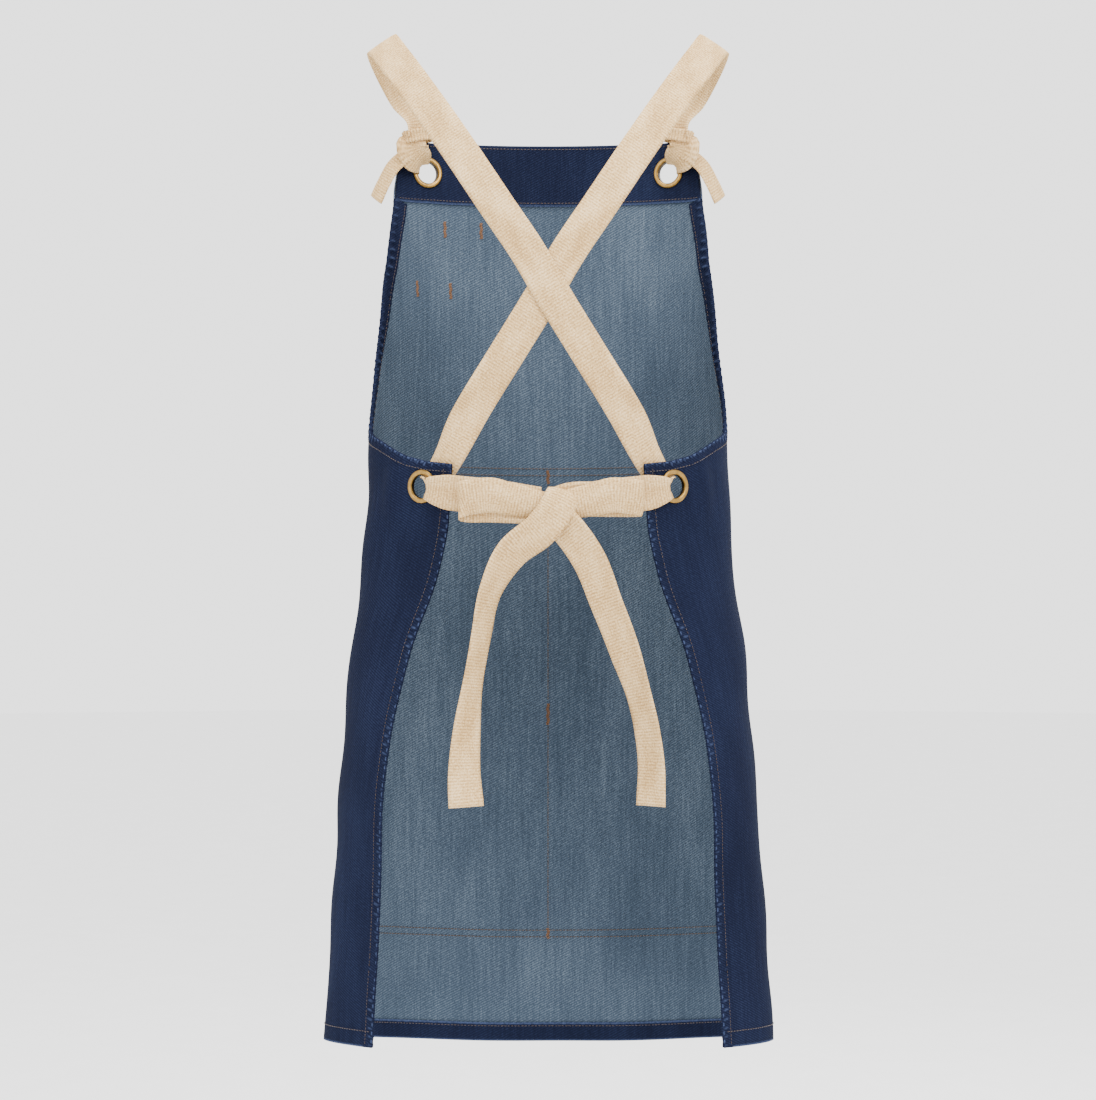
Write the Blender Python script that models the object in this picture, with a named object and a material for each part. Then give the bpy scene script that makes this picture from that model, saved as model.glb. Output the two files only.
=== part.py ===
"""Cross-back bib apron of denim, with webbing straps tied in a bow, in the form it takes when worn.

Metres, +Z up. The wearer faces -Y, so the open back is on the +Y side and the wearer's left is +X.
The origin lies between the two straps, at their undersides where they pass over the shoulders.
"""

import math

import bmesh
import bpy
import numpy as np
from mathutils import Matrix, Vector

# The cut cloth: lengths are measured along it
APRON_LENGTH = 0.858
HALF_WIDTH = 0.360
BIB_TOP_DROP = 0.075
SIDE_RISE = 0.034
CLOTH_THICK = 0.0014

# The body that the cloth goes round: half width, depth in front of and behind the shoulders
HIP_HALF = 0.202
HIP_FRONT = 0.140
HIP_BACK = 0.1485
FLUTE_DEPTH = 0.002
FLUTES = 2.5

# Facing, hems and the pieces sewn on the front
FACING_DROP = 0.058
HEM_THICK = 0.0014
BIB_HEM = 0.016
WING_TOP_HEM = 0.009
WING_HEM = 0.0105
PANEL_HALF = 0.205
PANEL_THICK = 0.0012
POCKET_GAPE = 0.0090
CHEST_LOOP_LENGTH = 0.040
CHEST_LOOP_HEIGHT = 0.016
CHEST_LOOP_BULGE = 0.0050

# Brass eyelets
EYELET_RADIUS = 0.0150
EYELET_HOLE = 0.01025
BARREL_WALL = 0.0009
FLANGE_THICK = 0.0018
TOP_EYELET_IN = 0.0310
TOP_EYELET_DOWN = 0.0290
WING_EYELET_IN = 0.0308
WING_EYELET_DOWN = 0.0195
SETTLED = 0.030
SETTLE_OUT = 0.055

# Webbing, its route over the shoulders and the bow at the back
WEB_WIDTH = 0.031
WEB_THICK = 0.0016
SHOULDER_HALF = 0.152
CROSS_BACK = 0.1135
CROSS_DROP = 0.2312
CROSS_STEP = 0.0026
BOW_BACK = 0.118
BOW_DROP = 0.425
BOW_SHIFT = -0.003
BOW_KNOT = (0.0200, 0.0130, 0.0185)
BOW_KNOT_TURN = math.radians(-12)
BOW_TIE_LAYER = 0.0055
BOW_LOOP_LAYER = 0.0040
BOW_TAIL_LAYER = 0.0060
BOW_TAIL_OVER = 0.0076
BOW_TAIL_SINKS = 0.25
BOW_LOOP = 0.080
BOW_LOOP_DEPTH = 0.0090
BOW_LOOP_LIFT = 0.0120
TAIL_DROP = 0.257
TAIL_SPREAD = 0.080
TOP_KNOT = (0.0155, 0.0085, 0.0160)
TOP_KNOT_OUT = 0.020
KNOT_SQUARENESS = 0.72
TOP_TAIL_DROP = 0.041
TOP_TAIL_REACH = 0.017

# Clearances: between pieces, and more where two curved faces lie on each other. Then how far a hidden
# cutter reaches from the cloth, and how far up its last row the side hem stops before the corner
GAP = 0.0003
SKIN_GAP = 0.0015
CUTTER_REACH = 0.012
MITRE_SHARE = 0.08

# Sections from bib top to hem. Columns: down, a share of APRON_LENGTH; half, a share of HIP_HALF;
# front, a share of HIP_FRONT; side, how far the widest line lies forward, a share of HIP_FRONT;
# back, a share of HIP_BACK
SECTIONS = np.array([
    (0.000, 0.792, 0.821, 0.336, 0.870),
    (0.080, 0.782, 0.821, 0.214, 0.870),
    (0.145, 0.777, 0.821, 0.107, 0.870),
    (0.215, 0.772, 0.821, 0.050, 0.870),
    (0.330, 0.803, 0.821, 0.036, 0.869),
    (0.410, 0.813, 0.836, 0.000, 0.801),
    (0.490, 0.839, 0.871, 0.000, 0.805),
    (0.575, 0.883, 0.907, 0.000, 0.902),
    (0.700, 0.925, 0.943, 0.000, 1.000),
    (0.850, 0.967, 0.979, 0.000, 0.845),
    (1.000, 1.000, 1.000, 0.000, 0.771),
])

# Outline of the flat cloth. Columns: down, a share of APRON_LENGTH; half, a share of HALF_WIDTH
OUTLINE = np.array([
    (0.000, 0.408),
    (0.030, 0.412),
    (0.066, 0.431),
    (0.097, 0.452),
    (0.136, 0.476),
    (0.169, 0.505),
    (0.215, 0.541),
    (0.270, 0.580),
    (0.318, 0.620),
    (0.333, 0.663),
    (0.345, 0.757),
    (0.355, 0.815),
    (0.364, 0.868),
    (0.370, 0.925),
    (0.3735, 1.000),
    (1.000, 1.000),
])
CORNER_DOWN = 0.3735

# Grid lines of the cloth: shares of the way from its middle to the hem, and shares of the length
COLUMNS = (0, 0.13, 0.26, 0.38, 0.49, 0.58, 0.66, 0.74, 0.81, 0.88, 0.94, 1.0)
FACING_ROW = FACING_DROP / APRON_LENGTH
BIB_ROWS = (0, 0.30 * FACING_ROW, 0.64 * FACING_ROW, FACING_ROW)
CHEST_ROWS = (0.097, 0.136, 0.169, 0.215, 0.270, 0.318, 0.333, 0.345, 0.355, 0.364, 0.370)
SKIRT_ROWS = (0.3735, 0.389, 0.401, 0.413, 0.433, 0.462, 0.50, 0.545, 0.60, 0.66, 0.72, 0.78,
              0.84, 0.90, 0.95, 0.979, 1.0)
HEM_ROW = 0.979

# Panel and pocket on the front: shares of the length
PANEL_TOP = 0.355
PANEL_BOTTOM = 0.886
POCKET_TOP = 0.622

# Chest loops. Columns: middle across, a share of HALF_WIDTH; middle down, a share of APRON_LENGTH
CHEST_LOOPS = {"chest_loop_upper": (0.2285, 0.0955), "chest_loop_lower": (0.3147, 0.1636)}

# Back run of a strap, from shoulder to wing. Columns: across, a share of SHOULDER_HALF, plus on the
# strap's own side; back, a share of CROSS_BACK; down, a share of CROSS_DROP
BACK_RUN = (
    (0.903, 0.317, 0.090),
    (0.718, 0.617, 0.270),
    (0.533, 0.811, 0.453),
    (0.295, 0.934, 0.692),
    (0.103, 0.991, 0.883),
    (0.000, 1.000, 1.000),
    (-0.103, 0.993, 1.112),
    (-0.240, 0.978, 1.257),
    (-0.435, 0.925, 1.463),
)
FRONT_RUN = ((0.907, -0.581, 0.170), (0.975, -0.370, 0.067))

# Bow tails. Columns: across, a share of TAIL_SPREAD; down, a share of TAIL_DROP; turn of the webbing's
# width from the wearer's side to side, in degrees, and its tilt in the plane of the back, in degrees
TAILS = {
    "bow_tail_left": (
        (0.10, 0.020, 15, 40), (0.42, 0.146, 25, 38), (0.65, 0.276, 52, 22), (0.74, 0.411, 58, 12),
        (0.84, 0.589, 58, 10), (0.91, 0.750, 42, 6), (0.934, 0.907, 26, 1), (0.918, 1.000, 12, -2),
    ),
    "bow_tail_right": (
        (-0.09, 0.036, 15, -33), (-0.41, 0.170, 20, -26), (-0.60, 0.317, 28, -20),
        (-0.80, 0.479, 34, -20), (-0.94, 0.613, 48, -15), (-1.04, 0.741, 48, -9),
        (-1.079, 0.834, 46, -4), (-1.079, 0.996, 38, 14),
    ),
}

# Free end of a strap beside the bib. Columns: down, a share of TOP_TAIL_DROP; outwards and forward, shares
# of TOP_TAIL_REACH; way of the width for the wearer's left; curl in degrees
TOP_TAIL_ROUTE = (
    (0.00, 0.00, 0.00, (-0.40, 0.85, -0.30), 120),
    (0.20, 0.42, 0.00, (-0.40, 0.85, -0.30), 90),
    (0.60, 0.80, 0.20, (-0.40, 0.86, -0.24), 40),
    (1.00, 1.10, 0.50, (-0.42, 0.88, -0.18), 15),
)

# Bow loops, from the knot out along the back layer and home along the front layer. Columns: out, a share
# of BOW_LOOP; depth, a share of BOW_LOOP_DEPTH behind or in front of the loop's middle
LOOP_ROUTE = ((0.15, -0.40), (0.45, -0.55), (0.70, -0.62), (0.90, -0.60), (0.985, -0.30),
              (1.0, 0.05), (0.975, 0.40), (0.86, 0.66), (0.66, 0.74), (0.45, 0.62), (0.15, 0.40))

DENIM = (0.020, 0.032, 0.090, 1)
WEBBING = (0.730, 0.600, 0.440, 1)
BRASS = (0.560, 0.420, 0.180, 1)

UP = np.array((0.0, 0.0, 1.0))


def unit(v):
    v = np.asarray(v, float)
    return v / np.linalg.norm(v, axis=-1, keepdims=True)


def through(knots, values, at):
    """Smooth curve through values at knots: cubic pieces whose slopes come from the neighbours."""
    knots = np.asarray(knots, float)
    values = np.asarray(values, float)
    slopes = np.gradient(values, knots, axis=0)
    at = np.clip(np.asarray(at, float), knots[0], knots[-1])
    i = np.clip(np.searchsorted(knots, at, side="right") - 1, 0, len(knots) - 2)
    width = knots[i + 1] - knots[i]
    t = (at - knots[i]) / width
    if values.ndim > 1:
        t = t[..., None]
        width = width[..., None]
    return (
        (2 * t**3 - 3 * t**2 + 1) * values[i]
        + (t**3 - 2 * t**2 + t) * width * slopes[i]
        + (3 * t**2 - 2 * t**3) * values[i + 1]
        + (t**3 - t**2) * width * slopes[i + 1]
    )


def smooth_step(x):
    x = np.clip(x, 0, 1)
    return x * x * (3 - 2 * x)


def edge_half(down):
    """Half width of the flat cloth at this share of the length."""
    return HALF_WIDTH * np.interp(down, OUTLINE[:, 0], OUTLINE[:, 1])


def bare_cloth(s, down):
    """Points s metres along the cloth from its middle, at a share of its length. Each level is a half
    ellipse in front and another behind, met at the widest line, and s is the arc length along it."""
    s, down = np.broadcast_arrays(np.asarray(s, float), np.asarray(down, float))
    half = HIP_HALF * through(SECTIONS[:, 0], SECTIONS[:, 1], down)
    front = -HIP_FRONT * through(SECTIONS[:, 0], SECTIONS[:, 2], down)
    side = -HIP_FRONT * np.interp(down, SECTIONS[:, 0], SECTIONS[:, 3])
    back = HIP_BACK * through(SECTIONS[:, 0], SECTIONS[:, 4], down)
    turn = np.linspace(0, math.pi, 241)
    x = half[..., None] * np.sin(turn)
    depth = np.where(turn < math.pi / 2, (side - front)[..., None], back[..., None])
    y = side[..., None] - depth * np.cos(turn)
    steps = np.hypot(np.diff(x, axis=-1), np.diff(y, axis=-1))
    arc = np.concatenate([np.zeros(x.shape[:-1] + (1,)), np.cumsum(steps, axis=-1)], axis=-1)
    flat_arc = arc.reshape(-1, len(turn))
    at = [np.interp(v, row, turn) for v, row in zip(np.abs(s).ravel(), flat_arc)]
    phi = np.array(at).reshape(s.shape)
    depth = np.where(phi < math.pi / 2, side - front, back)
    px = half * np.sin(phi)
    py = side - depth * np.cos(phi)
    away = unit(np.stack([np.sin(phi) / half, -np.cos(phi) / depth], axis=-1))
    skirt = smooth_step((down - 0.40) / 0.6)
    flute = FLUTE_DEPTH * skirt * np.cos(2 * math.pi * FLUTES * np.abs(s) / HALF_WIDTH)
    share = np.abs(s) / (0.75 * HALF_WIDTH)
    rise = SIDE_RISE * np.clip((down - 0.1) / 0.9, 0, 1) * share**2 / (1 + share**8) ** 0.25
    z = -BIB_TOP_DROP - APRON_LENGTH * down + rise
    px = np.sign(s) * (px + flute * away[..., 0])
    return np.stack([px, py + flute * away[..., 1], z], axis=-1)


def facing_out(surface, s, down):
    """Unit normals of a cloth function, away from the body."""
    step = 0.001
    along = surface(s + step, down) - surface(s - step, down)
    fall = surface(s, down + step) - surface(s, down - step)
    return unit(np.cross(fall, along))


class Eyelet:
    """Where an eyelet sits: its place on the flat cloth, its centre and the way it faces."""

    def __init__(self, name, side, s, down, inner_stack):
        self.name = name
        self.side = side
        self.s = s
        self.down = down
        self.centre = bare_cloth(s, down)
        self.out = facing_out(bare_cloth, np.array(s), np.array(down))
        self.outer_seat = CLOTH_THICK / 2 + GAP
        self.inner_seat = inner_stack + GAP


def eyelets():
    found = {}
    top_down = TOP_EYELET_DOWN / APRON_LENGTH
    wing_down = CORNER_DOWN + WING_EYELET_DOWN / APRON_LENGTH
    top_s = float(edge_half(top_down)) - TOP_EYELET_IN
    wing_s = HALF_WIDTH - WING_EYELET_IN
    faced = CLOTH_THICK / 2 + GAP + HEM_THICK
    for word, side in (("left", 1), ("right", -1)):
        found["top", side] = Eyelet(f"eyelet_top_{word}", side, side * top_s, top_down, faced)
        found["wing", side] = Eyelet(
            f"eyelet_wing_{word}", side, side * wing_s, wing_down, CLOTH_THICK / 2
        )
    return found


EYELETS = eyelets()


def cloth(s, down):
    """The worn cloth's middle surface: bare_cloth, pressed flat under each eyelet."""
    s, down = np.broadcast_arrays(np.asarray(s, float), np.asarray(down, float))
    points = bare_cloth(s, down)
    for eyelet in EYELETS.values():
        away = np.hypot(s - eyelet.s, (down - eyelet.down) * APRON_LENGTH)
        weight = 1 - smooth_step((away - SETTLED) / (SETTLE_OUT - SETTLED))
        height = (points - eyelet.centre) @ eyelet.out
        points = points - (weight * height)[..., None] * eyelet.out
    return points


def on_cloth(s, down, out):
    """Points that stand a distance out from the cloth's middle surface."""
    s, down = np.broadcast_arrays(np.asarray(s, float), np.asarray(down, float))
    return cloth(s, down) + np.asarray(out)[..., None] * facing_out(cloth, s, down)


def material(name, colour, roughness, metallic=0.0):
    found = bpy.data.materials.get(name)
    if found:
        return found
    made = bpy.data.materials.new(name)
    made.use_nodes = True
    shader = made.node_tree.nodes["Principled BSDF"]
    shader.inputs["Base Color"].default_value = colour
    shader.inputs["Roughness"].default_value = roughness
    shader.inputs["Metallic"].default_value = metallic
    return made


def cloth_grid(rows):
    """Flat grid lines of the cloth at these rows, for one side: s and down of each point. The last
    band is the hem, of even width along the edge; inside it the rows bend down to meet it."""
    rows = np.asarray(rows, float)
    step = 0.004
    run = (edge_half(rows + step) - edge_half(rows - step)) / (2 * step * APRON_LENGTH)
    wide = np.interp(rows, (0.25, 0.345), (BIB_HEM, WING_TOP_HEM))
    inner_s = edge_half(rows) - wide / np.hypot(1, run)
    fall = wide * run / np.hypot(1, run)
    skirt = rows >= CORNER_DOWN
    inner_s = np.where(skirt, HALF_WIDTH - WING_HEM, inner_s)
    fall = np.where(skirt, 0, fall)
    fall = np.where(rows == CORNER_DOWN, WING_TOP_HEM, fall)
    share = np.array(COLUMNS)[None, :]
    s = np.concatenate([share * inner_s[:, None], edge_half(rows)[:, None]], axis=1)
    bend = np.append(share[0] ** 2, 0)[None, :] * fall[:, None]
    return s, rows[:, None] + bend / APRON_LENGTH


def both_sides(s, down):
    """The grid lines of one side and their mirror image, as one grid across the whole cloth."""
    return (
        np.concatenate([-s[:, :0:-1], s], axis=1),
        np.concatenate([down[:, :0:-1], down], axis=1),
    )


def make_object(name, mesh_maker, colour, roughness=0.9, metallic=0.0):
    """New object whose mesh the given function builds in a bmesh."""
    mesh = bpy.data.meshes.new(name)
    bm = bmesh.new()
    mesh_maker(bm)
    bmesh.ops.recalc_face_normals(bm, faces=bm.faces)
    bm.to_mesh(mesh)
    bm.free()
    mesh.shade_smooth()
    mesh.set_sharp_from_angle(angle=math.radians(50))
    mesh.materials.append(material(name + "_finish", colour, roughness, metallic))
    obj = bpy.data.objects.new(name, mesh)
    bpy.context.scene.collection.objects.link(obj)
    return obj


def sheet(name, points, thickness, colour, side=0, roughness=0.9):
    """A wall of even thickness whose middle surface runs through a grid of points. Every square is
    split along the diagonal that leans to the cloth's middle, so that layered walls stay parallel;
    side tells the half that the grid lies in, 0 for both."""
    middle = (points.shape[1] - 1) // 2
    first_right = {1: 0, -1: points.shape[1]}.get(side, middle)

    def build(bm):
        verts = [[bm.verts.new(p) for p in row] for row in points]
        for upper, lower in zip(verts, verts[1:]):
            for i, (a, b, c, d) in enumerate(zip(upper, upper[1:], lower[1:], lower)):
                if i >= first_right:
                    bm.faces.new((a, b, d))
                    bm.faces.new((b, c, d))
                else:
                    bm.faces.new((a, b, c))
                    bm.faces.new((a, c, d))

    obj = make_object(name, build, colour, roughness)
    wall = obj.modifiers.new("wall", "SOLIDIFY")
    wall.thickness = thickness
    wall.offset = 0
    return obj


def half_lines(columns):
    """Grid lines on both sides of the middle, from lines on one side that start at the middle."""
    right = np.array(columns)
    return np.concatenate([-right[:0:-1], right])


def one_side(s, down, side, columns):
    """The grid lines of one half, in the order that runs from the wearer's right to left."""
    s = side * s[:, columns]
    down = down[:, columns]
    return (s, down) if side > 0 else (s[:, ::-1], down[:, ::-1])


def cut_with(obj, cutter):
    cut = obj.modifiers.new("cut_" + cutter.name, "BOOLEAN")
    cut.operation = "DIFFERENCE"
    cut.object = cutter
    cut.solver = "EXACT"


def hide_helper(obj):
    obj.hide_render = True
    obj.display_type = "WIRE"


def disc_cutter(name, eyelet, radius):
    """A hidden round bar through an eyelet's place, which reaches past both sides of the cloth."""

    def build(bm):
        bmesh.ops.create_cone(
            bm, cap_ends=True, segments=24, radius1=radius, radius2=radius, depth=2 * CUTTER_REACH
        )

    obj = make_object(name, build, BRASS)
    turn = Vector(eyelet.out).to_track_quat("Z", "Y").to_matrix().to_4x4()
    obj.matrix_world = Matrix.Translation(eyelet.centre) @ turn
    hide_helper(obj)
    return obj


def build_cloth():
    s, down = both_sides(*cloth_grid(BIB_ROWS + CHEST_ROWS + SKIRT_ROWS))
    return sheet("apron_cloth", cloth(s, down), CLOTH_THICK, DENIM)


def hem_sheet(name, s, down, side):
    """A wall of hem on the cloth's inner side, on the same grid lines as the cloth."""
    inner = -(CLOTH_THICK / 2 + GAP + HEM_THICK / 2)
    return sheet(name, on_cloth(s, down, inner), HEM_THICK, DENIM, side)


def build_facing():
    """The turned-down band that stiffens the top of the bib, on its inner side."""
    s, down = both_sides(*cloth_grid(BIB_ROWS))
    return hem_sheet("bib_facing", s, down, 0)


def build_side_hem(word, side):
    """The rolled hem along the bib's side and the wing's top, mitred at the wing's corner."""
    s, down = cloth_grid((FACING_ROW,) + CHEST_ROWS + SKIRT_ROWS[:1])
    down[0] += GAP / APRON_LENGTH
    for lines in (s, down):
        lines[-1] += MITRE_SHARE * (lines[-2] - lines[-1])
    s, down = one_side(s, down, side, slice(-2, None))
    hem = hem_sheet(f"side_hem_{word}", s, down, side)
    eyelet = EYELETS["wing", side]
    cut_with(hem, disc_cutter(f"hem_notch_{word}", eyelet, EYELET_RADIUS + 2 * GAP))
    return hem


def build_wing_hem(word, side):
    """The hem down the wing's back edge, turned to the inner side."""
    s, down = one_side(*cloth_grid(SKIRT_ROWS), side, slice(-2, None))
    return hem_sheet(f"wing_hem_{word}", s, down, side)


def build_skirt_hem():
    """The turned-up hem round the bottom, between the two wing hems."""
    s, down = cloth_grid((HEM_ROW, 1.0))
    s = s[:, :-1]
    s[:, -1] -= 3 * GAP
    s, down = both_sides(s, down[:, :-1])
    return hem_sheet("skirt_hem", s, down, 0)


def panel_lines():
    """Lines across the panel, closest where the cloth turns round the hips."""
    share = np.linspace(0, 1, 11)
    return PANEL_HALF * half_lines(share ** 0.85)[None, :]


def build_front_panel():
    rows = np.linspace(PANEL_TOP, PANEL_BOTTOM, 8)[:, None]
    outer = CLOTH_THICK / 2 + SKIN_GAP + PANEL_THICK / 2
    return sheet("front_panel", on_cloth(panel_lines(), rows, outer), PANEL_THICK, DENIM)


def build_front_pocket():
    """The pocket over the panel's lower half: closed at the bottom, sides and middle seam, and
    standing off in each half by POCKET_GAPE at the mouth."""
    rows = np.linspace(POCKET_TOP, PANEL_BOTTOM, 5)[:, None]
    s = panel_lines()
    up = (PANEL_BOTTOM - rows) / (PANEL_BOTTOM - POCKET_TOP)
    bulge = POCKET_GAPE * np.sin(math.pi * np.abs(s) / PANEL_HALF) * np.sin(0.5 * math.pi * up)
    seat = CLOTH_THICK / 2 + SKIN_GAP + PANEL_THICK + GAP + PANEL_THICK / 2
    return sheet("front_pocket", on_cloth(s, rows, seat + bulge), PANEL_THICK, DENIM)


def build_chest_loop(name, across, down):
    """A short strip sewn down at both ends, standing off the bib between them."""
    s = across * HALF_WIDTH + CHEST_LOOP_LENGTH * np.linspace(-0.5, 0.5, 9)[None, :]
    tall = CHEST_LOOP_HEIGHT / APRON_LENGTH
    rows = down + tall * np.array((-0.5, 0.5))[:, None]
    free = np.clip(1 - np.abs(np.linspace(-1, 1, 9)) / 0.8, 0, 1)
    bulge = CHEST_LOOP_BULGE * np.sin(0.5 * math.pi * free)[None, :]
    seat = CLOTH_THICK / 2 + 2 * GAP + PANEL_THICK / 2
    return sheet(name, on_cloth(s, rows, seat + bulge), PANEL_THICK, DENIM)


def build_eyelet(eyelet):
    """A turned brass eyelet: a barrel through the cloth with a domed flange on each side."""
    top = eyelet.outer_seat
    low = -eyelet.inner_seat
    barrel = EYELET_HOLE + BARREL_WALL
    rim = EYELET_RADIUS - 0.3 * FLANGE_THICK
    lip = EYELET_HOLE + FLANGE_THICK
    profile = (
        (barrel, top), (EYELET_RADIUS, top), (rim, top + 0.8 * FLANGE_THICK),
        (lip, top + FLANGE_THICK), (EYELET_HOLE, top + 0.2 * FLANGE_THICK),
        (EYELET_HOLE, low - 0.2 * FLANGE_THICK), (lip, low - FLANGE_THICK),
        (rim, low - 0.8 * FLANGE_THICK), (EYELET_RADIUS, low), (barrel, low),
    )

    def build(bm):
        ring = [bm.verts.new((r, 0, h)) for r, h in profile]
        edges = [bm.edges.new(pair) for pair in zip(ring, ring[1:] + ring[:1])]
        bmesh.ops.spin(
            bm, geom=ring + edges, cent=(0, 0, 0), axis=(0, 0, 1), dvec=(0, 0, 0),
            angle=2 * math.pi, steps=16, use_merge=True,
        )
        bmesh.ops.remove_doubles(bm, verts=bm.verts, dist=1e-6)

    obj = make_object(eyelet.name, build, BRASS, roughness=0.35, metallic=1.0)
    turn = Vector(eyelet.out).to_track_quat("Z", "Y").to_matrix().to_4x4()
    obj.matrix_world = Matrix.Translation(eyelet.centre) @ turn
    return obj


def ribbon(stations, samples, across=4, hand=1):
    """Grid of points of a webbing swept along a smooth path. Each station is a point, the way the
    webbing's width runs there, and its curl in degrees: the section is an arc of the webbing's real
    width turned through the curl, which opens towards width x path, or for hand -1 away from it."""
    spots = np.array([station[0] for station in stations], float)
    widths = np.array([station[1] for station in stations], float)
    curls = np.radians([station[2] for station in stations])
    steps = np.linalg.norm(np.diff(spots, axis=0), axis=1)
    at = np.concatenate([[0], np.cumsum(steps)])
    fine = np.linspace(0, at[-1], 12 * samples)
    dense = through(at, spots, fine)
    length = np.concatenate([[0], np.cumsum(np.linalg.norm(np.diff(dense, axis=0), axis=1))])
    station_share = np.interp(at, fine, length)
    pull = 1 + 0.012 / np.maximum(np.interp(length, station_share[:-1], steps), 0.004)
    pace = np.concatenate([[0], np.cumsum(0.5 * (pull[1:] + pull[:-1]) * np.diff(length))])
    keep = np.interp(np.linspace(0, pace[-1], samples), pace, fine)
    centre = through(at, spots, keep)
    ahead = unit(through(at, spots, keep + 1e-4) - through(at, spots, keep - 1e-4))
    wide = through(at, widths, keep)
    wide = unit(wide - np.sum(wide * ahead, axis=1, keepdims=True) * ahead)
    opens = hand * np.cross(wide, ahead)
    curl = np.maximum(through(at, curls, keep), 1e-3)[:, None]
    angle = curl * np.linspace(-0.5, 0.5, across)[None, :]
    radius = WEB_WIDTH / curl
    sideways = (radius * np.sin(angle))[..., None] * wide[:, None, :]
    return centre[:, None, :] + sideways + (radius * (1 - np.cos(angle)))[..., None] * opens[:, None, :]


def knot_place(side):
    """Middle of the knot at a top eyelet: inside the bib, out towards its corner and up."""
    eyelet = EYELETS["top", side]
    depth = eyelet.inner_seat + FLANGE_THICK + TOP_KNOT[1] + 2 * GAP
    aside = side * np.cross(UP, eyelet.out)
    return eyelet.centre - depth * eyelet.out + TOP_KNOT_OUT * aside + 1.25 * TOP_KNOT[2] * UP


def bow_place():
    return np.array((BOW_SHIFT, BOW_BACK, -BOW_DROP))


def in_plane(direction, normal):
    return unit(direction - np.dot(direction, normal) * normal)


def strap_stations(side):
    """Stations of a strap: knot at the bib, shoulder, crossing, wing eyelet and knot of the bow."""
    step = CROSS_STEP / 2 * side
    knot = knot_place(side)
    lean = np.array((-0.83 * side, 0, 0.56))
    grip = (-0.62 * side, -0.75, 0.12)
    found = [(knot + 0.5 * TOP_KNOT[2] * UP, grip, 110), (knot + 1.3 * TOP_KNOT[2] * UP, grip, 70)]
    for across, back, down in FRONT_RUN:
        spot = (side * across * SHOULDER_HALF, back * CROSS_BACK, -down * CROSS_DROP)
        found.append((spot, (-0.78 * side, -0.40, 0.42), 25))
    found.append(((side * SHOULDER_HALF, 0, WEB_THICK / 2), lean, 8))
    for across, back, down in BACK_RUN:
        spot = (side * across * SHOULDER_HALF, back * CROSS_BACK + step, -down * CROSS_DROP)
        found.append((spot, lean, 6))
    return found + wing_stations(side)


def wing_stations(side):
    """The strap's end: down behind the other side's wing, out through its eyelet and on to the bow."""
    eyelet = EYELETS["wing", -side]
    centre = eyelet.centre
    out = eyelet.out
    home = in_plane(bow_place() - centre, out)
    above = in_plane(UP, out)
    arrive = unit(0.62 * home + 0.78 * above)
    clear = WEB_THICK / 2 + 3 * GAP
    inner = eyelet.inner_seat + FLANGE_THICK + clear
    outer = eyelet.outer_seat + FLANGE_THICK + clear
    rim = EYELET_HOLE - clear - 2 * GAP
    wide_in = side * np.cross(arrive, out)
    wide_out = side * np.cross(home, out)
    wide_through = unit(wide_in + wide_out)
    passing = unit(arrive + home)
    far = 1.6 * EYELET_RADIUS
    leave = centre + far * home + 1.15 * outer * out
    end = bow_place() + side * np.array((-0.5, 0, 0)) * BOW_KNOT[0] - (0, BOW_TIE_LAYER, 0)
    end = end + 0.35 * BOW_KNOT[2] * UP
    return [
        (centre + 1.95 * EYELET_RADIUS * arrive - 1.05 * inner * out, wide_in, 25),
        (centre + (rim + 0.6 * EYELET_HOLE) * arrive - 1.3 * inner * out, wide_in, 150),
        (centre + (rim + 0.08 * EYELET_HOLE) * arrive - 0.9 * inner * out, wide_in, 250),
        (centre + rim * passing, wide_through, 268),
        (centre + (rim + 0.08 * EYELET_HOLE) * home + 1.2 * outer * out, wide_out, 250),
        (centre + (rim + 0.6 * EYELET_HOLE) * home + 1.5 * outer * out, wide_out, 170),
        (leave, wide_out, 100),
        (0.55 * leave + 0.45 * end + 0.5 * (BOW_BACK - BOW_TIE_LAYER - end[1]) * UP, wide_out, 30),
        (end, (0, 0, 1), 30),
    ]


def build_strap(word, side, knots):
    strap = sheet(f"strap_{word}", ribbon(strap_stations(side), 40, hand=side), WEB_THICK, WEBBING)
    cut_with(strap, knots["top", side])
    cut_with(strap, knots["bow"])
    return strap


def lump(name, place, half_sizes, turn):
    """A drawn-tight knot: a ball squared off a little, at its place."""

    def build(bm):
        bmesh.ops.create_uvsphere(bm, u_segments=12, v_segments=8, radius=1)
        for vert in bm.verts:
            squared = [math.copysign(abs(c) ** KNOT_SQUARENESS, c) for c in vert.co]
            vert.co = [c * h for c, h in zip(squared, half_sizes)]

    obj = make_object(name, build, WEBBING)
    obj.matrix_world = Matrix.Translation(place) @ turn
    return obj


def knot_shapes():
    """The three knots with, for each, a hidden one larger by the clearance that trims what enters it."""
    solids = {}
    trims = {}
    wider = np.full(3, 1.5 * GAP)
    places = [("bow", "bow_knot", bow_place(), BOW_KNOT, Matrix.Rotation(BOW_KNOT_TURN, 4, "Y"))]
    for word, side in (("left", 1), ("right", -1)):
        out = Vector(EYELETS["top", side].out)
        frame = Matrix((out.cross(Vector(UP)), out, Vector(UP))).transposed().to_4x4()
        places.append((("top", side), f"top_knot_{word}", knot_place(side), TOP_KNOT, frame))
    for key, name, place, half_sizes, turn in places:
        solids[key] = lump(name, place, half_sizes, turn)
        trims[key] = lump(name + "_trim", place, half_sizes + wider, turn)
        hide_helper(trims[key])
    return solids, trims


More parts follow.
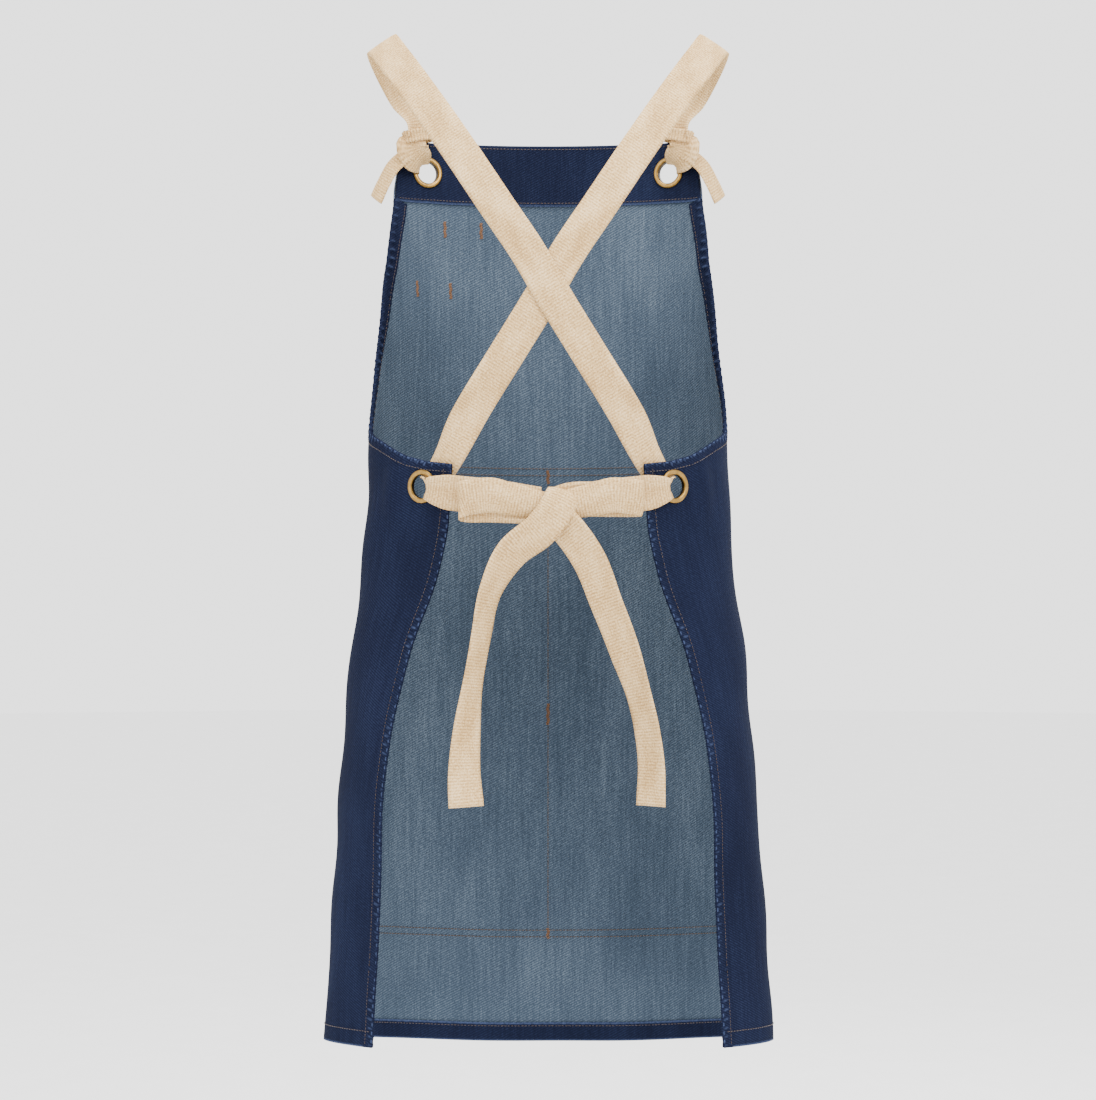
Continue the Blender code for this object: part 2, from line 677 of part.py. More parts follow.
def add_top_turn(knot, word, side):
    """Joins to a knot the turn of webbing that runs from it through the eyelet and over the bib's top."""
    eyelet = EYELETS["top", side]
    centre = eyelet.centre
    out = eyelet.out
    place = knot_place(side)
    rise = in_plane(place - centre, out)
    clear = WEB_THICK / 2 + 2 * GAP
    rim = EYELET_HOLE - clear
    inner = eyelet.inner_seat + FLANGE_THICK + clear
    outer = eyelet.outer_seat + FLANGE_THICK + clear
    across = np.cross(rise, out)
    level = np.cross(UP, out)
    top = centre + (TOP_EYELET_DOWN + WEB_THICK / 2 + 4 * GAP) * UP
    top = top + 0.55 * TOP_KNOT_OUT * side * level
    stations = [
        (place - 0.45 * TOP_KNOT[2] * UP, across, 120),
        (centre + (rim + 0.7 * EYELET_HOLE) * rise - 1.3 * inner * out, across, 160),
        (centre + (rim + 0.12 * EYELET_HOLE) * rise - 0.8 * inner * out, across, 250),
        (centre + rim * rise, across, 268),
        (centre + (rim + 0.12 * EYELET_HOLE) * rise + 0.85 * outer * out, across, 250),
        (centre + (rim + 0.7 * EYELET_HOLE) * rise + 1.2 * outer * out, across + 0.3 * level, 180),
        (top - 0.3 * TOP_EYELET_DOWN * UP + 1.1 * outer * out, level, 60),
        (top + 0.6 * outer * out, level, 25),
        (top - 0.7 * inner * out + 0.001 * UP, level, 25),
        (top - 0.8 * (inner + TOP_KNOT[1]) * out - 0.1 * TOP_KNOT[2] * UP, level, 40),
    ]
    turn = sheet(f"top_turn_{word}", ribbon(stations, 20), WEB_THICK, WEBBING)
    hide_helper(turn)
    join = knot.modifiers.new("turn", "BOOLEAN")
    join.operation = "UNION"
    join.object = turn
    join.solver = "EXACT"


def build_top_tail(word, side, knots):
    """The strap's short free end, which hangs beyond the bib's side edge."""
    eyelet = EYELETS["top", side]
    aside = side * np.cross(UP, eyelet.out)
    start = knot_place(side) + 0.72 * TOP_KNOT[0] * aside - 0.35 * TOP_KNOT[2] * UP
    start = start - 0.52 * TOP_KNOT[1] * eyelet.out
    stations = []
    for along, outwards, forward, wide, curl in TOP_TAIL_ROUTE:
        spot = start - along * TOP_TAIL_DROP * UP
        spot = spot + TOP_TAIL_REACH * np.array((side * outwards, -forward, 0))
        stations.append((spot, (wide[0] * side, wide[1], wide[2]), curl))
    tail = sheet(f"top_tail_{word}", ribbon(stations, 9, 3, side), WEB_THICK, WEBBING)
    cut_with(tail, knots["top", side])
    return tail


def build_bow_loop(word, side, knots):
    middle = bow_place() + (0, BOW_LOOP_LAYER, BOW_LOOP_LIFT)
    stations = []
    for out, depth in LOOP_ROUTE:
        spot = middle + (side * out * BOW_LOOP, depth * BOW_LOOP_DEPTH, 0)
        stations.append((spot, (0, 0, 1), 6))
    loop = sheet(f"bow_loop_{word}", ribbon(stations, 18, 3, side), WEB_THICK, WEBBING)
    cut_with(loop, knots["bow"])
    return loop


def build_bow_tail(name, knots):
    """A long tail of the bow, which turns as it falls. The left one leaves over its loop, the right one
    under the knot."""
    stations = []
    hand = 1 if name.endswith("left") else -1
    for across, down, turn, tilt in TAILS[name]:
        over = BOW_TAIL_OVER * smooth_step(1 - down / BOW_TAIL_SINKS) if hand > 0 else 0
        spot = bow_place() + (across * TAIL_SPREAD, BOW_TAIL_LAYER + over, -down * TAIL_DROP)
        sway = math.copysign(1, across)
        wide = (
            -math.cos(math.radians(turn)) * math.cos(math.radians(tilt)),
            -sway * math.sin(math.radians(turn)),
            -math.cos(math.radians(turn)) * math.sin(math.radians(tilt)),
        )
        stations.append((spot, wide, 14))
    tail = sheet(name, ribbon(stations, 17, 3, hand), WEB_THICK, WEBBING)
    cut_with(tail, knots["bow"])
    return tail


def main():
    for obj in list(bpy.data.objects):
        bpy.data.objects.remove(obj)
    body = build_cloth()
    facing = build_facing()
    for (row, side), eyelet in EYELETS.items():
        hole = EYELET_HOLE + BARREL_WALL + GAP
        cutter = disc_cutter("hole_" + eyelet.name, eyelet, hole)
        cut_with(body, cutter)
        if row == "top":
            cut_with(facing, cutter)
        build_eyelet(eyelet)
    knots, trims = knot_shapes()
    for word, side in (("left", 1), ("right", -1)):
        build_side_hem(word, side)
        build_wing_hem(word, side)
        add_top_turn(knots["top", side], word, side)
        build_strap(word, side, trims)
        build_top_tail(word, side, trims)
        build_bow_loop(word, side, trims)
        build_bow_tail(f"bow_tail_{word}", trims)
    build_skirt_hem()
    build_front_panel()
    build_front_pocket()
    for name, (across, down) in CHEST_LOOPS.items():
        build_chest_loop(name, across, down)


main()
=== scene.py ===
"""Cross-back denim bib apron with webbing straps, dressed: washed indigo cloth, cream webbing, old brass.

The cloth and the webbing repeat the solids' own sizes and formulas, drawn finer, with the hems'
puckers, the rows of stitching and the wrapped knots that the solids leave out. Metres, +Z up.
"""

import math

import bmesh
import bpy
import numpy as np
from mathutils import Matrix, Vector


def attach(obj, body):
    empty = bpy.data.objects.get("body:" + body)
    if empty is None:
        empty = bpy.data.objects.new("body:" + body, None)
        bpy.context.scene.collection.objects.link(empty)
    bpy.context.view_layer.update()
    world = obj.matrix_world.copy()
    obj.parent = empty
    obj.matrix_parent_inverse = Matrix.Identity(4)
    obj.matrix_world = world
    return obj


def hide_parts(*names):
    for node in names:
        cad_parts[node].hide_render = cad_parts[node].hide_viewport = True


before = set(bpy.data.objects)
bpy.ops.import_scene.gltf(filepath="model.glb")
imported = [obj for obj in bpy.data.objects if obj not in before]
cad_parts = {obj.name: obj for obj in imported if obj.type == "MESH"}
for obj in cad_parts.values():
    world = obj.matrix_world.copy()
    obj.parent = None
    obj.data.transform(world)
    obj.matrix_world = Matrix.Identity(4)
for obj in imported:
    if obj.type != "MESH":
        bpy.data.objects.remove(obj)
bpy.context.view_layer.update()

# Sizes, tables and routes of the solids

APRON_LENGTH = 0.858
HALF_WIDTH = 0.360
BIB_TOP_DROP = 0.075
SIDE_RISE = 0.034
CLOTH_THICK = 0.0014
HIP_HALF = 0.202
HIP_FRONT = 0.140
HIP_BACK = 0.1485
FLUTE_DEPTH = 0.002
FLUTES = 2.5
FACING_DROP = 0.058
HEM_THICK = 0.0014
BIB_HEM = 0.016
WING_TOP_HEM = 0.009
WING_HEM = 0.0105
PANEL_HALF = 0.205
PANEL_THICK = 0.0012
POCKET_GAPE = 0.0090
CHEST_LOOP_LENGTH = 0.040
CHEST_LOOP_HEIGHT = 0.016
CHEST_LOOP_BULGE = 0.0050
EYELET_RADIUS = 0.0150
EYELET_HOLE = 0.01025
BARREL_WALL = 0.0009
FLANGE_THICK = 0.0018
TOP_EYELET_IN = 0.0310
TOP_EYELET_DOWN = 0.0290
WING_EYELET_IN = 0.0308
WING_EYELET_DOWN = 0.0195
SETTLED = 0.030
SETTLE_OUT = 0.055
WEB_WIDTH = 0.031
WEB_THICK = 0.0016
SHOULDER_HALF = 0.152
CROSS_BACK = 0.1135
CROSS_DROP = 0.2312
CROSS_STEP = 0.0026
BOW_BACK = 0.118
BOW_DROP = 0.425
BOW_SHIFT = -0.003
BOW_KNOT = (0.0200, 0.0130, 0.0185)
BOW_TIE_LAYER = 0.0055
BOW_LOOP_LAYER = 0.0040
BOW_TAIL_LAYER = 0.0060
BOW_TAIL_OVER = 0.0076
BOW_TAIL_SINKS = 0.25
BOW_LOOP = 0.080
BOW_LOOP_DEPTH = 0.0090
BOW_LOOP_LIFT = 0.0120
TAIL_DROP = 0.257
TAIL_SPREAD = 0.080
TOP_KNOT = (0.0155, 0.0085, 0.0160)
TOP_KNOT_OUT = 0.020
TOP_TAIL_DROP = 0.041
TOP_TAIL_REACH = 0.017
GAP = 0.0003
SECTIONS = np.array([
    (0.000, 0.792, 0.821, 0.336, 0.870),
    (0.080, 0.782, 0.821, 0.214, 0.870),
    (0.145, 0.777, 0.821, 0.107, 0.870),
    (0.215, 0.772, 0.821, 0.050, 0.870),
    (0.330, 0.803, 0.821, 0.036, 0.869),
    (0.410, 0.813, 0.836, 0.000, 0.801),
    (0.490, 0.839, 0.871, 0.000, 0.805),
    (0.575, 0.883, 0.907, 0.000, 0.902),
    (0.700, 0.925, 0.943, 0.000, 1.000),
    (0.850, 0.967, 0.979, 0.000, 0.845),
    (1.000, 1.000, 1.000, 0.000, 0.771),
])
OUTLINE = np.array([
    (0.000, 0.408),
    (0.030, 0.412),
    (0.066, 0.431),
    (0.097, 0.452),
    (0.136, 0.476),
    (0.169, 0.505),
    (0.215, 0.541),
    (0.270, 0.580),
    (0.318, 0.620),
    (0.333, 0.663),
    (0.345, 0.757),
    (0.355, 0.815),
    (0.364, 0.868),
    (0.370, 0.925),
    (0.3735, 1.000),
    (1.000, 1.000),
])
CORNER_DOWN = 0.3735
HEM_ROW = 0.979
PANEL_TOP = 0.355
PANEL_BOTTOM = 0.886
POCKET_TOP = 0.622
CHEST_LOOPS = {"chest_loop_upper": (0.2285, 0.0955), "chest_loop_lower": (0.3147, 0.1636)}
BACK_RUN = (
    (0.903, 0.317, 0.090),
    (0.718, 0.617, 0.270),
    (0.533, 0.811, 0.453),
    (0.295, 0.934, 0.692),
    (0.103, 0.991, 0.883),
    (0.000, 1.000, 1.000),
    (-0.103, 0.993, 1.112),
    (-0.240, 0.978, 1.257),
    (-0.435, 0.925, 1.463),
)
FRONT_RUN = ((0.907, -0.581, 0.170), (0.975, -0.370, 0.067))
TAILS = {
    "bow_tail_left": (
        (0.10, 0.020, 15, 40), (0.42, 0.146, 25, 38), (0.65, 0.276, 52, 22), (0.74, 0.411, 58, 12),
        (0.84, 0.589, 58, 10), (0.91, 0.750, 42, 6), (0.934, 0.907, 26, 1), (0.918, 1.000, 12, -2),
    ),
    "bow_tail_right": (
        (-0.09, 0.036, 15, -33), (-0.41, 0.170, 20, -26), (-0.60, 0.317, 28, -20),
        (-0.80, 0.479, 34, -20), (-0.94, 0.613, 48, -15), (-1.04, 0.741, 48, -9),
        (-1.079, 0.834, 46, -4), (-1.079, 0.996, 38, 14),
    ),
}
TOP_TAIL_ROUTE = (
    (0.00, 0.00, 0.00, (-0.40, 0.85, -0.30), 120),
    (0.20, 0.42, 0.00, (-0.40, 0.85, -0.30), 90),
    (0.60, 0.80, 0.20, (-0.40, 0.86, -0.24), 40),
    (1.00, 1.10, 0.50, (-0.42, 0.88, -0.18), 15),
)
LOOP_ROUTE = ((0.15, -0.40), (0.45, -0.55), (0.70, -0.62), (0.90, -0.60), (0.985, -0.30),
              (1.0, 0.05), (0.975, 0.40), (0.86, 0.66), (0.66, 0.74), (0.45, 0.62), (0.15, 0.40))
UP = np.array((0.0, 0.0, 1.0))


def unit(v):
    """Vectors of length one in the same directions."""
    v = np.asarray(v, float)
    return v / np.linalg.norm(v, axis=-1, keepdims=True)


def through(knots, values, at):
    """Smooth curve through values at knots: cubic pieces whose slopes come from the neighbours."""
    knots = np.asarray(knots, float)
    values = np.asarray(values, float)
    slopes = np.gradient(values, knots, axis=0)
    at = np.clip(np.asarray(at, float), knots[0], knots[-1])
    i = np.clip(np.searchsorted(knots, at, side="right") - 1, 0, len(knots) - 2)
    width = knots[i + 1] - knots[i]
    t = (at - knots[i]) / width
    if values.ndim > 1:
        t = t[..., None]
        width = width[..., None]
    return (
        (2 * t**3 - 3 * t**2 + 1) * values[i]
        + (t**3 - 2 * t**2 + t) * width * slopes[i]
        + (3 * t**2 - 2 * t**3) * values[i + 1]
        + (t**3 - t**2) * width * slopes[i + 1]
    )


def smooth_step(x):
    """Eased step from 0 to 1."""
    x = np.clip(x, 0, 1)
    return x * x * (3 - 2 * x)


def edge_half(down):
    """Half width of the flat cloth at this share of the length."""
    return HALF_WIDTH * np.interp(down, OUTLINE[:, 0], OUTLINE[:, 1])


# Looks: sizes that only the finished surfaces have
TOPSTITCH_PITCH = 0.0033
TOPSTITCH_LENGTH = 0.0025
THREAD = 0.00032
SEAM_THREAD = 1.45 * THREAD
BARTACK_THREAD = 0.00042
BARTACK_STEP = 0.00085
BARTACK_HALF = 0.0017
ROW_APART = 0.0065
ROW_INSET = 0.0030
PUCKER_PITCH = 0.0082
PUCKER = 0.0008
SKIN_LIFT = 0.00022
SEWN_WALL = 0.0011
EDGE_IN = 0.0004
HEM_STEP = 0.0012
HEM_OVER = 0.0005
HEM_PUCKER = 0.0005
HEM_SHARES = (1.0, 0.97, 0.88, 0.75, 0.6, 0.45, 0.3, 0.16, 0.06)
HEM_NARROWS = (0.20, 0.335)
CLOTH_HOLE = EYELET_HOLE + BARREL_WALL + 2 * GAP
EYELET_TURNS = 72
WEB_STEP = 0.0026
WEB_COLUMNS = 11
TABLE_ROWS = 420
TABLE_LINES = 721
# Curl and share of the width at the last nine stations of a strap, and share at its first four
WING_GATHER = ((55, 1.0), (60, 0.85), (50, 0.64), (45, 0.58), (40, 0.62), (30, 0.74), (20, 0.92), (12, 1.0),
               (15, 0.85))
FRONT_GATHER = (0.85, 0.70, 0.74, 0.90)
# Lobe of a top knot. Columns: metres from the eyelet outwards, up and towards the back; way of the width,
# outwards and down; curl in degrees; share of the width that shows
LOBE = (
    (0.0185, 0.0350, 0.004, 1.0, 0.10, 60, 0.60),
    (0.0195, 0.0280, 0.009, 1.0, 0.15, 40, 0.70),
    (0.0225, 0.0200, 0.0115, 1.0, 0.30, 26, 1.0),
    (0.0195, 0.0130, 0.0105, 0.85, 0.55, 26, 1.0),
    (0.0125, 0.0085, 0.007, 0.75, 0.70, 40, 0.85),
)
# The bow's wrap round its knot. Columns: place in the knot's half sizes from its middle, way of the width,
# curl in degrees
WRAP_ROUTE = (
    ((-0.50, -0.55, 0.15), (-0.9, 0, -0.30), 40),
    ((-0.66, -0.25, 0.80), (-0.92, 0.05, -0.30), 40),
    ((-0.60, 0.50, 0.86), (-0.90, 0.10, -0.36), 44),
    ((-0.38, 0.95, 0.38), (-0.84, 0.02, -0.52), 44),
    ((-0.05, 1.06, -0.24), (-0.80, 0, -0.60), 36),
    ((0.45, 0.96, -0.92), (-0.78, -0.05, -0.62), 28),
)
# Band drawn round a top knot's neck: its middle from the eyelet, outwards along the bib, up and inwards;
# its reach along the bib and through the knot; how far it falls outwards; its gathered width and thickness
BAND_AT = (0.0140, 0.0310, 0.0105)
BAND_REACH = (0.0137, 0.0098)
BAND_FALLS = 0.0022
BAND_WIDTH = 0.0115
BAND_THICK = 0.0026
KNOT_END_OUT = 0.0125
FOCAL_PX = 2637
FRAME_WIDE_PX = 1096
CAMERA_BACK = 2.4
CAMERA_HEIGHT = -0.460
FLOOR = -1.45
LIT = (0, 0, -0.45)
SURROUND = 2.4


def section_sizes(down):
    """Half width, front, widest line and back of the hanging cloth's section at these levels."""
    half = HIP_HALF * through(SECTIONS[:, 0], SECTIONS[:, 1], down)
    front = -HIP_FRONT * through(SECTIONS[:, 0], SECTIONS[:, 2], down)
    side = -HIP_FRONT * np.interp(down, SECTIONS[:, 0], SECTIONS[:, 3])
    back = HIP_BACK * through(SECTIONS[:, 0], SECTIONS[:, 4], down)
    return half, front, side, back


def angle_table():
    """Angle along each section's two half ellipses by arc length: one row for each level, one line for
    each length from the middle. The arc is summed from short chords and turned round by interpolation."""
    levels = np.linspace(0, 1, TABLE_ROWS)
    half, front, side, back = (v[:, None] for v in section_sizes(levels))
    turn = np.linspace(0, math.pi, 481)[None, :]
    depth = np.where(turn < math.pi / 2, side - front, back)
    x = half * np.sin(turn)
    y = side - depth * np.cos(turn)
    arc = np.cumsum(np.hypot(np.diff(x, axis=1), np.diff(y, axis=1)), axis=1)
    arc = np.concatenate([np.zeros((TABLE_ROWS, 1)), arc], axis=1)
    lengths = np.linspace(0, 1.03 * HALF_WIDTH, TABLE_LINES)
    return np.array([np.interp(lengths, row, turn[0]) for row in arc])


ANGLES = angle_table()


def angle_at(s, down):
    """Angle at arc length |s| and level down, read between the four nearest entries of the table."""
    row = np.clip(down, 0, 1) * (TABLE_ROWS - 1)
    line = np.clip(np.abs(s) / (1.03 * HALF_WIDTH), 0, 1) * (TABLE_LINES - 1)
    i = np.minimum(row.astype(int), TABLE_ROWS - 2)
    j = np.minimum(line.astype(int), TABLE_LINES - 2)
    u, v = row - i, line - j
    upper = ANGLES[i, j] * (1 - v) + ANGLES[i, j + 1] * v
    lower = ANGLES[i + 1, j] * (1 - v) + ANGLES[i + 1, j + 1] * v
    return upper * (1 - u) + lower * u


def bare_cloth(s, down):
    """Middle surface of the cloth as it hangs: a half ellipse in front and another behind at each level, met
    at the widest line, with shallow flutes that deepen to the hem and a rise towards the sides."""
    s, down = np.broadcast_arrays(np.asarray(s, float), np.asarray(down, float))
    half, front, side, back = section_sizes(down)
    phi = angle_at(s, down)
    depth = np.where(phi < math.pi / 2, side - front, back)
    away = unit(np.stack([np.sin(phi) / half, -np.cos(phi) / depth], axis=-1))
    flute = FLUTE_DEPTH * smooth_step((down - 0.40) / 0.6)
    flute = flute * np.cos(2 * math.pi * FLUTES * np.abs(s) / HALF_WIDTH)
    share = np.abs(s) / (0.75 * HALF_WIDTH)
    rise = SIDE_RISE * np.clip((down - 0.1) / 0.9, 0, 1) * share**2 / (1 + share**8) ** 0.25
    z = -BIB_TOP_DROP - APRON_LENGTH * down + rise
    x = np.sign(s) * (half * np.sin(phi) + flute * away[..., 0])
    return np.stack([x, side - depth * np.cos(phi) + flute * away[..., 1], z], axis=-1)


def facing_out(surface, s, down):
    """Unit normals of a cloth function, away from the body, from differences over 3 mm."""
    step = 0.003
    along = surface(s + step, down) - surface(s - step, down)
    fall = surface(s, down + step) - surface(s, down - step)
    return unit(np.cross(fall, along))


class Eyelet:
    """Where an eyelet sits: its place on the flat cloth, its centre and the way it faces."""

    def __init__(self, name, s, down, inner_stack):
        self.name = name
        self.s = s
        self.down = down
        self.centre = bare_cloth(s, down)
        self.out = facing_out(bare_cloth, np.array(s), np.array(down))
        self.outer_seat = CLOTH_THICK / 2 + GAP
        self.inner_seat = inner_stack + GAP


def eyelets():
    """The four eyelets by place and side: two in the bib's corners, two in the wings'."""
    found = {}
    top_down = TOP_EYELET_DOWN / APRON_LENGTH
    wing_down = CORNER_DOWN + WING_EYELET_DOWN / APRON_LENGTH
    top_s = float(edge_half(top_down)) - TOP_EYELET_IN
    wing_s = HALF_WIDTH - WING_EYELET_IN
    faced = CLOTH_THICK / 2 + GAP + HEM_THICK
    for word, side in (("left", 1), ("right", -1)):
        found["top", side] = Eyelet(f"eyelet_top_{word}", side * top_s, top_down, faced)
        found["wing", side] = Eyelet(f"eyelet_wing_{word}", side * wing_s, wing_down, CLOTH_THICK / 2)
    return found


EYELETS = eyelets()


def folds(s, down):
    """Soft relief of the hanging cloth: long shallow folds down the skirt and faint cross creases,
    each a product of slow sines, fading to nothing at the eyelets."""
    fall = smooth_step((down - 0.35) / 0.5)
    long_folds = 0.0016 * np.sin(31 * s + 2.1 * down) * np.sin(13 * s - 3.7 * down + 0.8) * fall
    creases = 0.0005 * np.sin(24 * down + 9 * s) * np.sin(41 * down - 17 * s + 1.3)
    slack = 0.0012 * np.exp(-(((np.abs(s) - 0.24) / 0.05) ** 2)) * np.sin(46 * down + 22 * s)
    relief = long_folds + creases + slack * smooth_step((down - 0.33) / 0.08)
    for eyelet in EYELETS.values():
        away = np.hypot(s - eyelet.s, (down - eyelet.down) * APRON_LENGTH)
        relief = relief * smooth_step((away - 0.018) / 0.030)
    return relief


def cloth(s, down):
    """The hanging cloth's middle surface: bare_cloth with its folds, pressed flat under each eyelet."""
    s, down = np.broadcast_arrays(np.asarray(s, float), np.asarray(down, float))
    points = bare_cloth(s, down)
    for eyelet in EYELETS.values():
        away = np.hypot(s - eyelet.s, (down - eyelet.down) * APRON_LENGTH)
        weight = 1 - smooth_step((away - SETTLED) / (SETTLE_OUT - SETTLED))
        height = (points - eyelet.centre) @ eyelet.out
        points = points - (weight * height)[..., None] * eyelet.out
    return points


def on_cloth(s, down, out):
    """Points that stand a distance out from the cloth's middle surface, folds included."""
    s, down = np.broadcast_arrays(np.asarray(s, float), np.asarray(down, float))
    height = np.asarray(out) + folds(s, down)
    return cloth(s, down) + height[..., None] * facing_out(cloth, s, down)


def knot_place(side):
    """Middle of the knot at a top eyelet: inside the bib, out towards its corner and up."""
    eyelet = EYELETS["top", side]
    depth = eyelet.inner_seat + FLANGE_THICK + TOP_KNOT[1] + 2 * GAP
    aside = side * np.cross(UP, eyelet.out)
    return eyelet.centre - depth * eyelet.out + TOP_KNOT_OUT * aside + 1.25 * TOP_KNOT[2] * UP


def bow_place():
    """Middle of the bow's knot."""
    return np.array((BOW_SHIFT, BOW_BACK, -BOW_DROP))


def in_plane(direction, normal):
    """Unit part of a direction that lies square to a normal."""
    return unit(direction - np.dot(direction, normal) * normal)


def strap_stations(side):
    """Stations of a strap: knot at the bib, shoulder, crossing, wing eyelet and knot of the bow."""
    step = CROSS_STEP / 2 * side
    knot = knot_place(side)
    lean = np.array((-0.83 * side, 0, 0.56))
    grip = (-0.62 * side, -0.75, 0.12)
    found = [(knot + 0.5 * TOP_KNOT[2] * UP, grip, 110), (knot + 1.3 * TOP_KNOT[2] * UP, grip, 70)]
    for across, back, down in FRONT_RUN:
        spot = (side * across * SHOULDER_HALF, back * CROSS_BACK, -down * CROSS_DROP)
        found.append((spot, (-0.78 * side, -0.40, 0.42), 25))
    found.append(((side * SHOULDER_HALF, 0, WEB_THICK / 2), lean, 8))
    for across, back, down in BACK_RUN:
        spot = (side * across * SHOULDER_HALF, back * CROSS_BACK + step, -down * CROSS_DROP)
        found.append((spot, lean, 6))
    return found + wing_stations(side)


def wing_stations(side):
    """The strap's end: down behind the other side's wing, out through its eyelet and on to the bow."""
    eyelet = EYELETS["wing", -side]
    centre = eyelet.centre
    out = eyelet.out
    home = in_plane(bow_place() - centre, out)
    arrive = unit(0.62 * home + 0.78 * in_plane(UP, out))
    clear = WEB_THICK / 2 + 3 * GAP
    inner = eyelet.inner_seat + FLANGE_THICK + clear
    outer = eyelet.outer_seat + FLANGE_THICK + clear
    rim = EYELET_HOLE - clear - 2 * GAP
    wide_in = side * np.cross(arrive, out)
    wide_out = side * np.cross(home, out)
    wide_through = unit(wide_in + wide_out)
    passing = unit(arrive + home)
    leave = centre + 1.6 * EYELET_RADIUS * home + 1.15 * outer * out
    end = bow_place() + side * np.array((-0.5, 0, 0)) * BOW_KNOT[0] - (0, BOW_TIE_LAYER, 0)
    end = end + 0.35 * BOW_KNOT[2] * UP
    return [
        (centre + 1.95 * EYELET_RADIUS * arrive - 1.05 * inner * out, wide_in, 25),
        (centre + (rim + 0.6 * EYELET_HOLE) * arrive - 1.3 * inner * out, wide_in, 150),
        (centre + (rim + 0.08 * EYELET_HOLE) * arrive - 0.9 * inner * out, wide_in, 250),
        (centre + rim * passing, wide_through, 268),
        (centre + (rim + 0.08 * EYELET_HOLE) * home + 1.2 * outer * out, wide_out, 250),
        (centre + (rim + 0.6 * EYELET_HOLE) * home + 1.5 * outer * out, wide_out, 170),
        (leave, wide_out, 100),
        (0.55 * leave + 0.45 * end + 0.5 * (BOW_BACK - BOW_TIE_LAYER - end[1]) * UP, wide_out, 30),
        (end, (0, 0, 1), 30),
    ]


def srgb(code):
    """Linear colour of an sRGB hex code."""
    parts = [int(code[i:i + 2], 16) / 255 for i in (1, 3, 5)]
    return tuple(c / 12.92 if c <= 0.04045 else ((c + 0.055) / 1.055) ** 2.4 for c in parts) + (1.0,)


def add(tree, kind, inputs=None, **settings):
    """A node of this kind with its settings; each input is a value, or a socket to link from."""
    node = tree.nodes.new(kind)
    for key, value in settings.items():
        setattr(node, key, value)
    for key, value in (inputs or {}).items():
        if isinstance(value, bpy.types.NodeSocket):
            tree.links.new(value, node.inputs[key])
        else:
            node.inputs[key].default_value = value
    return node


def new_material(name, **constants):
    """Material with one Principled shader whose even values are set on its own sockets."""
    made = bpy.data.materials.new(name)
    made.use_nodes = True
    tree = made.node_tree
    shader = tree.nodes["Principled BSDF"]
    for key, value in constants.items():
        shader.inputs[key.replace("_", " ")].default_value = value
    return made, tree, shader


def cloth_coordinates(tree):
    """Flat place on a piece, whole and split: metres along x, metres along y, metres from its edge."""
    place = add(tree, "ShaderNodeAttribute", attribute_name="flat_place").outputs["Vector"]
    return place, add(tree, "ShaderNodeSeparateXYZ", {0: place})


def noise(tree, vector, scale=1.0, detail=2.0, roughness=0.5):
    """Noise about a half; a scale of three numbers stretches it."""
    if np.ndim(scale):
        vector = add(tree, "ShaderNodeMapping", {"Vector": vector, "Scale": scale}).outputs["Vector"]
        scale = 1.0
    return add(tree, "ShaderNodeTexNoise", {"Vector": vector, "Scale": scale, "Detail": detail,
                                            "Roughness": roughness}).outputs["Fac"]


def maths(tree, operation, *values):
    """One operation on values or sockets."""
    return add(tree, "ShaderNodeMath", dict(enumerate(values)), operation=operation).outputs[0]


def ramp(tree, value, *stops):
    """Colour ramp through stops, each a position and an sRGB hex code."""
    node = add(tree, "ShaderNodeValToRGB", {"Fac": value})
    ends = node.color_ramp.elements
    ends[0].position, ends[0].color = stops[0][0], srgb(stops[0][1])
    ends[1].position, ends[1].color = stops[-1][0], srgb(stops[-1][1])
    for position, code in stops[1:-1]:
        ends.new(position).color = srgb(code)
    return node.outputs["Color"]


def mix(tree, factor, first, second):
    """Colour between two."""
    inputs = {"Factor": factor, "A": first, "B": second}
    return add(tree, "ShaderNodeMix", inputs, data_type="RGBA").outputs[2]


def finish(tree, shader, colour, height, strength, distance):
    """Gives the shader its colour and its relief."""
    bump = add(tree, "ShaderNodeBump", {"Height": height, "Strength": strength, "Distance": distance})
    tree.links.new(colour, shader.inputs["Base Color"])
    tree.links.new(bump.outputs["Normal"], shader.inputs["Normal"])


